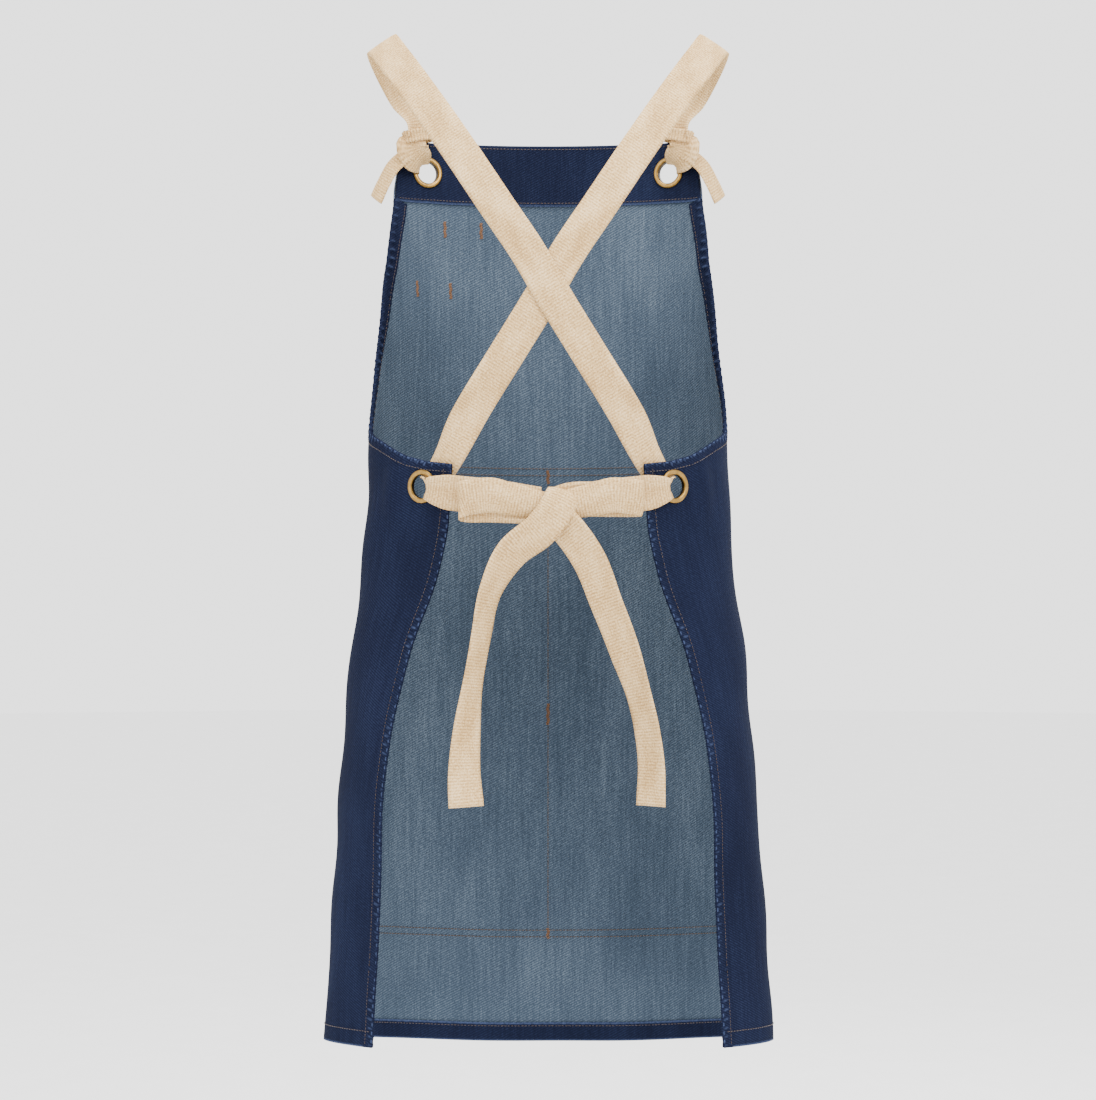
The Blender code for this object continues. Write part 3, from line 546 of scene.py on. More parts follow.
def denim(name, dark, light, pale, wear_and_highlight, flecks):
    """Denim is indigo-dyed warp over undyed weft in a right-hand twill: the eye gets a deep blue cut by
    fine paler diagonals, long uneven streaks where the warp's dye varies, and paler edges where the cloth
    wears. The same pale colour on the crests of the hems' puckers is partly wear and partly a painted
    highlight that stands for the light the puckers catch. The twill lines are 1.1 mm apart; flecks of 2 mm
    stand for the slubs, because single threads are finer than the picture shows."""
    made, tree, shader = new_material(name, Roughness=0.86, Specular_IOR_Level=0.02)
    flat, axes = cloth_coordinates(tree)
    streaks = noise(tree, flat, (360, 16, 1), 3.0, 0.65)
    slubs = noise(tree, flat, (640, 380, 1), 2.0, 0.7)
    clouds = noise(tree, flat, (11, 6, 1), 3.0, 0.55)
    turned = add(tree, "ShaderNodeMapping", {"Vector": flat, "Rotation": (0, 0, math.radians(63))})
    twill = add(tree, "ShaderNodeTexWave", {"Vector": turned.outputs["Vector"], "Scale": 145.0,
                                            "Distortion": 0.6, "Detail": 1.0,
                                            "Detail Scale": 3.0}).outputs["Fac"]
    tone = 0.5
    parts = ((streaks, 1.5 * flecks), (slubs, 2.4 * flecks), (twill, 0.25), (clouds, 0.5))
    for source, weight in parts:
        tone = maths(tree, "MULTIPLY_ADD", source, weight, tone)
    tone = maths(tree, "SUBTRACT", tone, 0.5 * sum(weight for _, weight in parts))
    colour = ramp(tree, tone, (0.05, dark), (0.50, light), (1.0, pale))
    # Paler within 2.2 mm of an edge, by the attribute's third value: wear along the edges, and on the hems'
    # pucker crests also a painted highlight.
    wear_and_highlight_mask = add(tree, "ShaderNodeMapRange", {"Value": axes.outputs["Z"], "From Min": 0.0, "From Max": 0.0022,
                                              "To Min": 1.1, "To Max": 0.0}).outputs[0]
    colour = mix(tree, maths(tree, "MULTIPLY", wear_and_highlight_mask, slubs), colour, srgb(wear_and_highlight))
    finish(tree, shader, colour, maths(tree, "MULTIPLY_ADD", twill, 0.5, slubs), 0.35, 0.0006)
    return made


def webbing_material():
    """Undyed cotton webbing, woven flat: the eye gets a warm cream, matte, with fine ribs across it
    1.3 mm apart and faint lengthwise warp lines. Ribs and lines are in the colour as well as in the
    relief, because both are near the picture's own fineness."""
    made, tree, shader = new_material("cream_cotton_webbing", Roughness=0.9, Specular_IOR_Level=0.1)
    flat = cloth_coordinates(tree)[0]
    ribs = add(tree, "ShaderNodeTexWave", {"Vector": flat, "Scale": 120.0, "Distortion": 1.2, "Detail": 2.0,
                                           "Detail Scale": 2.0, "Detail Roughness": 0.6},
               bands_direction="Y").outputs["Fac"]
    warp = noise(tree, flat, (700, 520, 1))
    cloud = noise(tree, flat, (60, 22, 1), 3.0)
    tone = maths(tree, "MULTIPLY_ADD", cloud, 0.7, maths(tree, "MULTIPLY_ADD", ribs, 0.20, warp))
    colour = ramp(tree, maths(tree, "SUBTRACT", tone, 0.47), (0.26, "#a07f52"), (0.48, "#c09e6c"),
                  (0.74, "#dabc90"))
    finish(tree, shader, colour, maths(tree, "ADD", ribs, warp), 0.30, 0.0004)
    return made


def old_brass():
    """Brass eyelets, stamped and antiqued: a soft golden shine, darkened brown where the finish stayed
    in the recesses and polished bright by wear on the crown of the ring."""
    made, tree, shader = new_material("antiqued_brass", Metallic=1.0)
    smut = noise(tree, add(tree, "ShaderNodeTexCoord").outputs["Object"], 260.0, 4.0, 0.7)
    crown = maths(tree, "MULTIPLY_ADD", smut, 0.55, cloth_coordinates(tree)[1].outputs["Z"])
    rough = add(tree, "ShaderNodeMapRange", {"Value": crown, "To Min": 0.55, "To Max": 0.24})
    tree.links.new(rough.outputs[0], shader.inputs["Roughness"])
    colour = ramp(tree, crown, (0.22, "#1c1408"), (0.55, "#5f4822"), (0.95, "#a8854a"))
    finish(tree, shader, colour, smut, 0.25, 0.0002)
    return made


def thread(name, colour, shade):
    """Polyester-cotton sewing thread, twisted: matte, its low bumps painted darker as shade in the small gaps
    between its plies.
    """
    made, tree, shader = new_material(name, Roughness=0.7, Sheen_Weight=0.2)
    plies = noise(tree, add(tree, "ShaderNodeTexCoord").outputs["Object"], 900.0)
    finish(tree, shader, mix(tree, plies, srgb(shade), srgb(colour)), plies, 0.3, 0.0002)
    return made


def studio_paper():
    """Seamless studio paper: matte and nearly white, with a faint tooth."""
    made, tree, shader = new_material("pale_studio_paper", Roughness=0.95, Specular_IOR_Level=0.1)
    tooth = add(tree, "ShaderNodeTexNoise", {"Scale": 300.0}).outputs["Fac"]
    tree.links.new(mix(tree, tooth, srgb("#f4f4f4"), srgb("#fafafa")), shader.inputs["Base Color"])
    return made


# The fifth colour is the pale one of the edges: wear, and on the face denim also the painted highlight on the
# hems' pucker crests.
OUTSIDE = denim("washed_indigo_denim_face", "#0a0c16", "#121627", "#262e46", "#4c5a7c", 0.22)
INSIDE = denim("washed_indigo_denim_back", "#222a34", "#384350", "#64707c", "#8a949e", 0.30)
COTTON = webbing_material()
BRASS_RING = old_brass()
BROWN_THREAD = thread("tobacco_topstitch_thread", "#402816", "#190f07")
RUST_THREAD = thread("rust_bartack_thread", "#74450c", "#3c2104")


def placed(name, data):
    """New object of this data, linked into the scene."""
    obj = bpy.data.objects.new(name, data)
    bpy.context.scene.collection.objects.link(obj)
    return obj


def grid_faces(rows, columns, wrap=False):
    """Corner numbers of the squares of a grid of points counted row by row, round the rows if wrapped."""
    i = np.arange(rows - 1)[:, None] * columns
    j = np.arange(columns if wrap else columns - 1)[None, :]
    k = (j + 1) % columns
    return np.stack([i + j, i + k, i + columns + k, i + columns + j], axis=-1).reshape(-1, 4)


def piece(name, points, faces, materials, flat=None, indices=None):
    """Mesh object from arrays, with its flat coordinates kept as an attribute for its material."""
    mesh = bpy.data.meshes.new(name)
    points = np.asarray(points, np.float32).reshape(-1, 3)
    mesh.vertices.add(len(points))
    mesh.vertices.foreach_set("co", points.ravel())
    faces = np.asarray(faces, np.int32)
    mesh.loops.add(faces.size)
    mesh.loops.foreach_set("vertex_index", faces.ravel())
    mesh.polygons.add(len(faces))
    mesh.polygons.foreach_set("loop_start", np.arange(len(faces), dtype=np.int32) * 4)
    mesh.update(calc_edges=True)
    mesh.polygons.foreach_set("use_smooth", np.ones(len(faces), bool))
    if indices is not None:
        mesh.polygons.foreach_set("material_index", np.asarray(indices, np.int32))
    if flat is not None:
        attribute = mesh.attributes.new("flat_place", "FLOAT_VECTOR", "POINT")
        attribute.data.foreach_set("vector", np.asarray(flat, np.float32).ravel())
    for made in materials:
        mesh.materials.append(made)
    mesh.validate()
    obj = placed(name, mesh)
    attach(obj, "root")
    return obj


def face_out(obj):
    """Turns a closed mesh's faces outwards."""
    bm = bmesh.new()
    bm.from_mesh(obj.data)
    bmesh.ops.recalc_face_normals(bm, faces=bm.faces)
    bm.to_mesh(obj.data)
    bm.free()


def soft(made, slot, replaced, **sheet):
    """Hides the solids that a finished sheet takes the place of. Its material slot and its flat shape are not
    used.
    """
    if replaced:
        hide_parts(*replaced)


def shell(name, s, down, lifts, rim, materials, holes=()):
    """Closed wall over flat points: its outer and inner face stand at two heights over the cloth. Squares
    in an eyelet's hole are left out, the corners round the hole are drawn onto its circle, and a wall
    closes every side of a square that has no neighbour."""
    keep = np.ones((s.shape[0] - 1, s.shape[1] - 1), bool)
    for eyelet in holes:
        across, along = s - eyelet.s, (down - eyelet.down) * APRON_LENGTH
        middle = np.hypot(*(0.25 * (v[1:, 1:] + v[1:, :-1] + v[:-1, 1:] + v[:-1, :-1])
                            for v in (across, along)))
        gone = np.pad(middle < CLOTH_HOLE, 1)
        corners = np.stack([gone[1:, 1:], gone[1:, :-1], gone[:-1, 1:], gone[:-1, :-1]])
        ring = corners.any(axis=0) & ~corners.all(axis=0)
        draw = np.where(ring, CLOTH_HOLE / np.maximum(np.hypot(across, along), 1e-6), 1)
        s, down = eyelet.s + across * draw, eyelet.down + (down - eyelet.down) * draw
        keep &= ~gone[1:-1, 1:-1]
    rows, columns = s.shape
    count = rows * columns
    cells = np.arange(rows - 1)[:, None] * columns + np.arange(columns - 1)[None, :]
    alone = np.pad(keep, 1)
    sides = ((alone[1:-1, :-2], 0, columns), (alone[2:, 1:-1], columns, columns + 1),
             (alone[1:-1, 2:], columns + 1, 1), (alone[:-2, 1:-1], 1, 0))
    kept = cells[keep]
    outer = np.stack([kept, kept + columns, kept + columns + 1, kept + 1], axis=-1)
    walls = []
    for neighbour, p, q in sides:
        bare = cells[keep & ~neighbour]
        walls.append(np.stack([bare + q, bare + p, bare + p + count, bare + q + count], axis=-1))
    walls = np.concatenate(walls)
    faces = np.concatenate([outer, outer[:, ::-1] + count, walls])
    indices = np.zeros(len(faces))
    indices[len(outer):2 * len(outer)] = len(materials) - 1
    points = np.concatenate([on_cloth(s, down, lift).reshape(-1, 3) for lift in lifts])
    flat = np.stack([s, down * APRON_LENGTH, rim], axis=-1).reshape(-1, 3)
    used, faces = np.unique(faces, return_inverse=True)
    flat = np.concatenate([flat, flat])
    return piece(name, points[used], faces.reshape(-1, 4), materials, flat[used], indices)


def edge_distance(s, down):
    """Metres from the flat cloth's nearest edge, by the slope of its outline."""
    run = (edge_half(down + 0.002) - edge_half(down - 0.002)) / (0.004 * APRON_LENGTH)
    aside = (edge_half(down) - np.abs(s)) / np.hypot(1, run)
    return np.minimum(np.minimum(aside, down * APRON_LENGTH), (1 - down) * APRON_LENGTH)


def spaced(ends, counts):
    """Values that run evenly through the ends with so many steps between each two."""
    parts = [np.linspace(a, b, n, endpoint=False) for a, b, n in zip(ends, ends[1:], counts)]
    return np.concatenate(parts + [ends[-1:]])


def levelled(start, stop, count, columns):
    """Grid of levels, evenly spaced down it and the same along each row."""
    return np.repeat(np.linspace(start, stop, count)[:, None], columns, axis=1)


def lengths_along(*steps):
    """Running length along a path from its steps' parts, starting at nothing."""
    return np.concatenate([[0], np.cumsum(np.hypot(*steps))])


def make_cloth():
    """The cut cloth, one closed wall on a grid that follows its outline: across, shares of the half
    width crowded to the edge; down, levels crowded where the outline sweeps out to the wings."""
    levels = spaced([0, 0.07, 0.27, 0.318, 0.345, CORNER_DOWN, 0.45, 1.0], [30, 40, 14, 22, 26, 26, 84])
    half = np.sin(0.5 * math.pi * np.linspace(0, 1, 72)) ** 0.92
    share = np.concatenate([-half[:0:-1], half])
    down = np.repeat(levels[:, None], len(share), axis=1)
    s = share[None, :] * (edge_half(levels)[:, None] - EDGE_IN)
    wall = CLOTH_THICK / 2
    rim = np.maximum(edge_distance(s, down), 0)
    made = shell("worn_cloth", s, down, (wall, -wall), rim, [OUTSIDE, INSIDE], EYELETS.values())
    half = edge_half(levels)
    flat_area = float(np.sum((half[1:] + half[:-1]) * np.diff(levels)) * APRON_LENGTH)
    soft(made, "denim", ["apron_cloth"], flat=(2 * HALF_WIDTH, APRON_LENGTH), held="hung", area=flat_area)


def make_facing():
    """Band turned down inside the bib's top: one wall on the cloth's inner side, its lower edge sewn."""
    down = levelled(0.0006, FACING_DROP / APRON_LENGTH, 26, 121)
    s = np.linspace(-1, 1, 121)[None, :] * (edge_half(down[:, :1]) - 2 * EDGE_IN)
    lift = -(CLOTH_THICK / 2 + GAP)
    rim = FACING_DROP - down * APRON_LENGTH
    ripple = 0.0003 * np.sin(s * 760) * np.exp(-rim / 0.004)
    made = shell("facing_band", s, down, (lift, lift - HEM_THICK - ripple), rim, [OUTSIDE],
                 [EYELETS["top", 1], EYELETS["top", -1]])
    soft(made, "denim", ["bib_facing"], flat=(2 * float(edge_half(0.03)), FACING_DROP), held="stretched",
         rests_on=["worn_cloth"])


def evened(v):
    """Each value's mean with the four on either side."""
    return np.convolve(np.pad(v, 4, mode="edge"), np.ones(9) / 9, mode="valid")


def edge_path(start, stop, count):
    """Points of the flat outline from one level to another, evenly spaced along it, with the inward
    way at each: s, down, and the inward step's parts across and down."""
    levels = np.linspace(start, stop, 1500)
    half = edge_half(levels)
    run = lengths_along(np.diff(half), np.diff(levels) * APRON_LENGTH)
    at = np.linspace(0, run[-1], count)
    s, down = np.interp(at, run, half), np.interp(at, run, levels)
    across = evened(np.gradient(s, at[1] - at[0]))
    fall = evened(np.gradient(down * APRON_LENGTH, at[1] - at[0]))
    size = np.hypot(across, fall)
    return at, s, down, -fall / size, across / size


def hem_roll(name, side, start, stop, ends, replaced, pucker):
    """Hem folded round the cloth's edge: a flat loop carried along the outline, from the outer face round
    the fold to the turned-in plies, whose height waves where the stitching draws the cloth up. Its width
    goes from one end's to the other's where the bib's side turns into the wing's top."""
    length = float(edge_path(start, stop, 8)[0][-1])
    at, s, down, inward, sink = edge_path(start, stop, int(length / HEM_STEP))
    width = np.interp(down, HEM_NARROWS, ends)
    share = np.array(HEM_SHARES + (0.0,) + HEM_SHARES[::-1])
    outer = np.array([1.0] * 9 + [0.0] + [-1.0] * 9)
    wall = CLOTH_THICK / 2
    height = np.array([wall + SKIN_LIFT] * 9 + [-0.4 * wall] + [-(wall + GAP + HEM_THICK)] * 9)
    height[[0, 1]] = (wall - 0.0002, wall + 0.0001)
    height[[-1, -2]] = (-wall - 0.0001, -(wall + GAP + 0.8 * HEM_THICK))
    height[[8, 10]] = (wall, -(wall + 0.7 * HEM_THICK))
    push = share[None, :] * (width[:, None] + HEM_OVER) - HEM_OVER
    wave = np.sin(2 * math.pi * at / PUCKER_PITCH + 0.9 * np.sin(at * 53) + 0.5 * np.sin(at * 131))[:, None]
    lean = 2 * math.pi * (at[:, None] / PUCKER_PITCH + 0.8 * share[None, :]) + 1.1 * np.sin(at * 71)[:, None]
    bell = np.sin(math.pi * share)[None, :] + 0.35
    puff = pucker * (0.55 * wave + 0.45 * np.sin(lean)) * bell * outer[None, :]
    levels = down[:, None] + push * sink[:, None] / APRON_LENGTH
    across = s[:, None] + push * inward[:, None]
    points = on_cloth(side * across, levels, height[None, :] + puff)
    # Metres from the edge, less a share of the pucker height on the crests: the crests get the pale colour,
    # partly as wear and partly as a painted highlight for the light the puckers catch.
    wear_and_highlight = 0.0027 + 0.1 * push - 2.4 * np.abs(puff) * (wave > 0.1)
    place = np.stack([side * across, levels * APRON_LENGTH, wear_and_highlight], axis=-1)
    rings = len(share)
    faces = grid_faces(len(at), rings, wrap=True)
    if side < 0:
        faces = faces[:, ::-1]
    caps = [np.array([(base + i, base + rings - 1 - i, base + rings - 2 - i, base + i + 1) for i in range(8)])
            for base in (0, (len(at) - 1) * rings)]
    turned = int(side > 0)
    caps[turned] = caps[turned][:, ::-1]
    made = piece(name, points, np.concatenate([faces] + caps), [OUTSIDE], place.reshape(-1, 3))
    face_out(made)
    soft(made, "denim", replaced, flat=(float(np.mean(width)), length), held="stretched",
         rests_on=["worn_cloth"])


def make_hems():
    """On each side the hem down the bib and along the wing's top, and the hem down the wing's back edge."""
    start = FACING_DROP / APRON_LENGTH - 0.002
    for word, side in (("left", 1), ("right", -1)):
        hem_roll(f"side_hem_roll_{word}", side, start, CORNER_DOWN, (BIB_HEM, WING_TOP_HEM),
                 [f"side_hem_{word}"], PUCKER)
        hem_roll(f"wing_hem_roll_{word}", side, CORNER_DOWN + 0.0012, 0.9995, (WING_HEM, WING_HEM),
                 [f"wing_hem_{word}"], 0.8 * PUCKER)


def make_skirt_hem():
    """Turned-up hem on the inner side round the bottom, a wall with puckers along its sewn edge."""
    down = levelled(HEM_ROW, 0.9994, 14, 420)
    s = np.linspace(-1, 1, 420)[None, :] * (HALF_WIDTH - WING_HEM - EDGE_IN) + 0 * down
    lift = CLOTH_THICK / 2 + GAP / 2
    up = (down - HEM_ROW) * APRON_LENGTH
    wave = np.sin(2 * math.pi * (s / 0.0094 + up / 0.03) + 1.3 * np.sin(s * 61))
    puff = HEM_PUCKER * wave * (np.exp(-up / 0.008) + 0.25)
    rim = np.minimum(up, (1 - down) * APRON_LENGTH)
    made = shell("skirt_hem_band", s, down, (-lift, -lift - HEM_THICK - puff), rim, [OUTSIDE])
    soft(made, "denim", ["skirt_hem"], flat=(2 * HALF_WIDTH, (1 - HEM_ROW) * APRON_LENGTH), held="stretched",
         rests_on=["worn_cloth"])


def patch(top, bottom, rows, half):
    """Grid of a patch on the front: s, down, and metres from the patch's nearest edge."""
    down = levelled(top, bottom, rows, 141)
    s = np.linspace(-1, 1, 141)[None, :] * half + 0 * down
    rim = np.minimum(PANEL_HALF - np.abs(s), np.minimum(down - top, PANEL_BOTTOM - down) * APRON_LENGTH)
    return s, down, rim


def make_front_pieces():
    """Panel and pocket on the front: walls that follow the cloth, the pocket bulging to its mouth."""
    seat = CLOTH_THICK / 2 + GAP / 3
    s, down, rim = patch(PANEL_TOP, PANEL_BOTTOM, 120, PANEL_HALF)
    ripple = 0.0003 * np.sin(s * 640 + 3 * np.sin(down * 90)) * np.exp(-np.abs(rim - 0.005) / 0.004)
    panel = shell("front_panel_cloth", s, down, (seat + SEWN_WALL + ripple, seat), rim, [OUTSIDE, INSIDE])
    soft(panel, "denim", ["front_panel"], flat=(2 * PANEL_HALF, (PANEL_BOTTOM - PANEL_TOP) * APRON_LENGTH),
         held="hung", rests_on=["worn_cloth"])
    s, down, rim = patch(POCKET_TOP, PANEL_BOTTOM - 0.0006, 80, PANEL_HALF - 0.0005)
    up = (PANEL_BOTTOM - down) / (PANEL_BOTTOM - POCKET_TOP)
    bulge = POCKET_GAPE * np.sin(math.pi * np.abs(s) / PANEL_HALF) * np.sin(0.5 * math.pi * np.clip(up, 0, 1))
    seat = seat + SEWN_WALL + 2 * GAP
    pocket = shell("front_pocket_cloth", s, down, (seat + SEWN_WALL + bulge, seat + bulge), rim,
                   [OUTSIDE, INSIDE])
    soft(pocket, "denim", ["front_pocket"], flat=(2 * PANEL_HALF, (PANEL_BOTTOM - POCKET_TOP) * APRON_LENGTH),
         held="hung", rests_on=["front_panel_cloth"])


def make_chest_loops():
    """Two loops sewn down at both ends: each a strip whose height over the bib is a half sine."""
    tall = CHEST_LOOP_HEIGHT / APRON_LENGTH
    run = np.linspace(-0.5, 0.5, 61)[None, :]
    free = np.clip(1 - np.abs(2 * run) / 0.8, 0, 1)
    bulge = CHEST_LOOP_BULGE * np.sin(0.5 * math.pi * free)
    seat = CLOTH_THICK / 2 + GAP
    for name, (across, level) in CHEST_LOOPS.items():
        down = level + tall * levelled(-0.5, 0.5, 15, 61)
        s = across * HALF_WIDTH + CHEST_LOOP_LENGTH * run + 0 * down
        rim = np.minimum(down - down[0, 0], down[-1, 0] - down) * APRON_LENGTH
        made = shell(name + "_strip", s, down, (seat + PANEL_THICK + bulge, seat + bulge), rim, [OUTSIDE])
        soft(made, "denim", [name], flat=(CHEST_LOOP_HEIGHT, CHEST_LOOP_LENGTH), held="stretched",
             rests_on=["worn_cloth"])


def make_eyelets():
    """Each eyelet is one profile turned about its axis: a rolled ring outside, the barrel, and a flatter
    ring inside. The attribute's height is 0 in the recesses and 1 on the crown."""
    arc = np.linspace(0, math.pi, 13)
    middle, reach = 0.5 * (EYELET_RADIUS + EYELET_HOLE), 0.5 * (EYELET_RADIUS - EYELET_HOLE)
    barrel = EYELET_HOLE + BARREL_WALL
    crown = np.concatenate([np.sin(arc), np.sin(arc), [0.1, 0.1]])
    angle = np.linspace(0, 2 * math.pi, EYELET_TURNS, endpoint=False)[:, None]
    for eyelet in EYELETS.values():
        outside, inside = (np.stack([middle + reach * np.cos(arc), seat + rise * np.sin(arc) ** 0.8], axis=-1)
                           for rise, seat in ((FLANGE_THICK, eyelet.outer_seat),
                                              (-FLANGE_THICK, -eyelet.inner_seat)))
        back = np.array([(barrel, -eyelet.inner_seat), (barrel, eyelet.outer_seat)])
        profile = np.concatenate([outside, inside[::-1], back])
        frame_x = in_plane(np.array((1.0, 0, 0)), eyelet.out)
        round_way = np.cos(angle) * frame_x + np.sin(angle) * np.cross(eyelet.out, frame_x)
        points = profile[None, :, :1] * round_way[:, None, :] + profile[None, :, 1:] * eyelet.out
        rings = len(profile)
        faces = grid_faces(EYELET_TURNS + 1, rings, wrap=True) % (EYELET_TURNS * rings)
        place = np.zeros((EYELET_TURNS, rings, 3))
        place[..., 2] = 0.55 * crown[None, :]
        made = piece(eyelet.name + "_ring", eyelet.centre + points, faces[:, ::-1], [BRASS_RING],
                     place.reshape(-1, 3))
        face_out(made)
        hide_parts(eyelet.name)


def running(spots):
    """Running length along a path of points."""
    return np.concatenate([[0], np.cumsum(np.linalg.norm(np.diff(spots, axis=0), axis=1))])


def webbing(name, stations, replaced, held="hung", hand=1, width=WEB_WIDTH, thick=WEB_THICK,
            wrinkle=0.0, rests_on=()):
    """Webbing carried along a smooth path: each cross section is an arc of its real width, turned through
    the station's curl, with rounded selvedges, and the ends are closed. A station's fourth value is the
    share of the width that shows where pleats gather the rest."""
    stations = [(*station, 1.0)[:4] for station in stations]
    spots, widths, curls, gathers = (np.array(column, float) for column in zip(*stations))
    curls = np.radians(curls)
    at = running(spots)
    fine = np.linspace(0, at[-1], 1600)
    run = running(through(at, spots, fine))
    samples = max(24, int(run[-1] / WEB_STEP))
    keep = np.interp(np.linspace(0, run[-1], samples), run, fine)
    centre = through(at, spots, keep)
    ahead = unit(through(at, spots, keep + 2e-4) - through(at, spots, keep - 2e-4))
    wide = through(at, widths, keep)
    wide = unit(wide - np.sum(wide * ahead, axis=1, keepdims=True) * ahead)
    opens = hand * np.cross(wide, ahead)
    curl = np.maximum(through(at, curls, keep), 1e-3)[:, None]
    angle = curl * np.linspace(-0.5, 0.5, WEB_COLUMNS)[None, :]
    share = np.clip(through(at, gathers, keep), 0.3, 1)[:, None]
    radius = share * width / curl
    pleat = 0.0007 * (1 - share) * np.cos(np.linspace(-3.5, 3.5, WEB_COLUMNS) * math.pi)[None, :]
    crinkle = pleat + wrinkle * np.sin(np.linspace(0, run[-1], samples) / 0.011)[:, None] * np.cos(angle * 3)
    middle = centre[:, None] + (radius * np.sin(angle))[..., None] * wide[:, None]
    middle = middle + (radius * (1 - np.cos(angle)) + crinkle)[..., None] * opens[:, None]
    normal = np.cos(angle)[..., None] * opens[:, None] - np.sin(angle)[..., None] * wide[:, None]
    taper = np.ones(WEB_COLUMNS)
    taper[[0, -1]] = 0.55
    rise = 0.5 * thick * taper[None, :, None] * normal
    ring = np.concatenate([middle + rise, (middle - rise)[:, ::-1]], axis=1)
    count = 2 * WEB_COLUMNS
    faces = grid_faces(samples, count, wrap=True)
    pairs = np.arange(WEB_COLUMNS - 1)
    cap = np.stack([pairs, pairs + 1, count - 2 - pairs, count - 1 - pairs], axis=-1)
    last = (samples - 1) * count
    length = float(run[-1])
    along = levelled(0, length, samples, count)
    side_place = np.concatenate([np.linspace(-0.5, 0.5, WEB_COLUMNS), np.linspace(0.5, -0.5, WEB_COLUMNS)])
    side_place = width * side_place[None, :] + 0 * along
    place = np.stack([side_place, along, 0.5 * width - np.abs(side_place)], axis=-1)
    faces = np.concatenate([faces, cap, last + cap[:, ::-1]])
    made = piece(name, ring, faces, [COTTON], place.reshape(-1, 3))
    face_out(made)
    soft(made, "webbing", replaced, flat=(width, length), held=held, rests_on=rests_on)


def make_straps():
    """The two straps: gathered a little above the upper knots, and into pleats at the wing eyelets."""
    for word, side in (("left", 1), ("right", -1)):
        stations = strap_stations(side)
        for i, gather in enumerate(FRONT_GATHER):
            stations[i] = (*stations[i], gather)
        for i, (curl, gather) in zip(range(-9, 0), WING_GATHER):
            stations[i] = (*stations[i][:2], curl, gather)
        webbing(f"webbing_strap_{word}", stations, [f"strap_{word}"], held="stretched", hand=side)


def top_turn_stations(side):
    """Webbing of a top knot: down over the knot as a broad lobe, through the eyelet from the inside, up the
    front, over the bib's top and back under the lobe."""
    eyelet = EYELETS["top", side]
    centre, out = eyelet.centre, eyelet.out
    rise = in_plane(knot_place(side) - centre, out)
    clear = WEB_THICK / 2 + 2 * GAP
    rim = EYELET_HOLE - clear
    inner = eyelet.inner_seat + FLANGE_THICK + clear
    outer = eyelet.outer_seat + FLANGE_THICK + clear
    across = np.cross(rise, out)
    level = np.cross(UP, out)
    aside = side * level
    top = centre + (TOP_EYELET_DOWN + WEB_THICK / 2 + 4 * GAP) * UP + 0.55 * TOP_KNOT_OUT * aside
    lobe = []
    for off, up, depth, run, fall, curl, gather in LOBE:
        spot = centre + off * aside + up * UP - (inner + depth) * out
        lobe.append((spot, side * (run * unit(aside + (side, 0, 0)) - fall * UP), curl, gather))
    return lobe + [
        (centre + (rim + 0.12 * EYELET_HOLE) * rise - 0.85 * inner * out, across, 90, 0.62),
        (centre + rim * rise, across, 110, 0.56),
        (centre + (rim + 0.12 * EYELET_HOLE) * rise + 0.85 * outer * out, across, 90, 0.62),
        (centre + (rim + 0.7 * EYELET_HOLE) * rise + 1.2 * outer * out, across + 0.3 * level, 60, 0.75),
        (top - 0.3 * TOP_EYELET_DOWN * UP + 1.1 * outer * out, level, 40, 0.9),
        (top + 0.6 * outer * out, level, 25, 0.9),
        (top - 0.7 * inner * out + 0.001 * UP, level, 25, 0.9),
        (top - 0.8 * (inner + TOP_KNOT[1]) * out - 0.1 * TOP_KNOT[2] * UP, level, 40, 0.8),
    ]


def make_top_knots():
    """Each top knot: the lobe with its turn through the eyelet, the band drawn round its neck, and the
    short free end that hangs past the bib's edge."""
    for word, side in (("left", 1), ("right", -1)):
        eyelet = EYELETS["top", side]
        out = eyelet.out
        level = np.cross(UP, out)
        webbing(f"knot_lobe_{word}", top_turn_stations(side), [f"top_knot_{word}"], held="folded",
                rests_on=[f"{eyelet.name}_ring"], wrinkle=0.0003)
        aside = side * level
        neck = eyelet.centre + BAND_AT[0] * aside + BAND_AT[1] * UP - (eyelet.inner_seat + BAND_AT[2]) * out
        slant = BAND_REACH[0] * level - BAND_FALLS * side * UP
        band = [(neck + math.cos(t) * slant - BAND_REACH[1] * math.sin(t) * out, UP + 0.15 * aside, 60)
                for t in np.linspace(0, 2 * math.pi, 17)]
        webbing(f"knot_band_{word}", band, [], held="folded", width=BAND_WIDTH, thick=BAND_THICK, hand=-1,
                rests_on=[f"knot_lobe_{word}"], wrinkle=0.0003)
        start = knot_place(side) + 0.72 * TOP_KNOT[0] * aside - 0.35 * TOP_KNOT[2] * UP
        start = start + (KNOT_END_OUT - 0.52 * TOP_KNOT[1]) * out
        tail = [(start - 0.5 * TOP_KNOT[0] * aside + 0.3 * TOP_KNOT[2] * UP, (-0.4 * side, 0.85, -0.3), 110)]
        for along, outwards, forward, wide, curl in TOP_TAIL_ROUTE:
            spot = start - along * TOP_TAIL_DROP * UP
            spot = spot + TOP_TAIL_REACH * np.array((side * outwards, -forward, 0)) + 0.004 * along * aside
            tail.append((spot, (wide[0] * side, wide[1], wide[2]), curl))
        webbing(f"knot_end_{word}", tail, [f"top_tail_{word}"], hand=side, rests_on=[f"knot_band_{word}"])


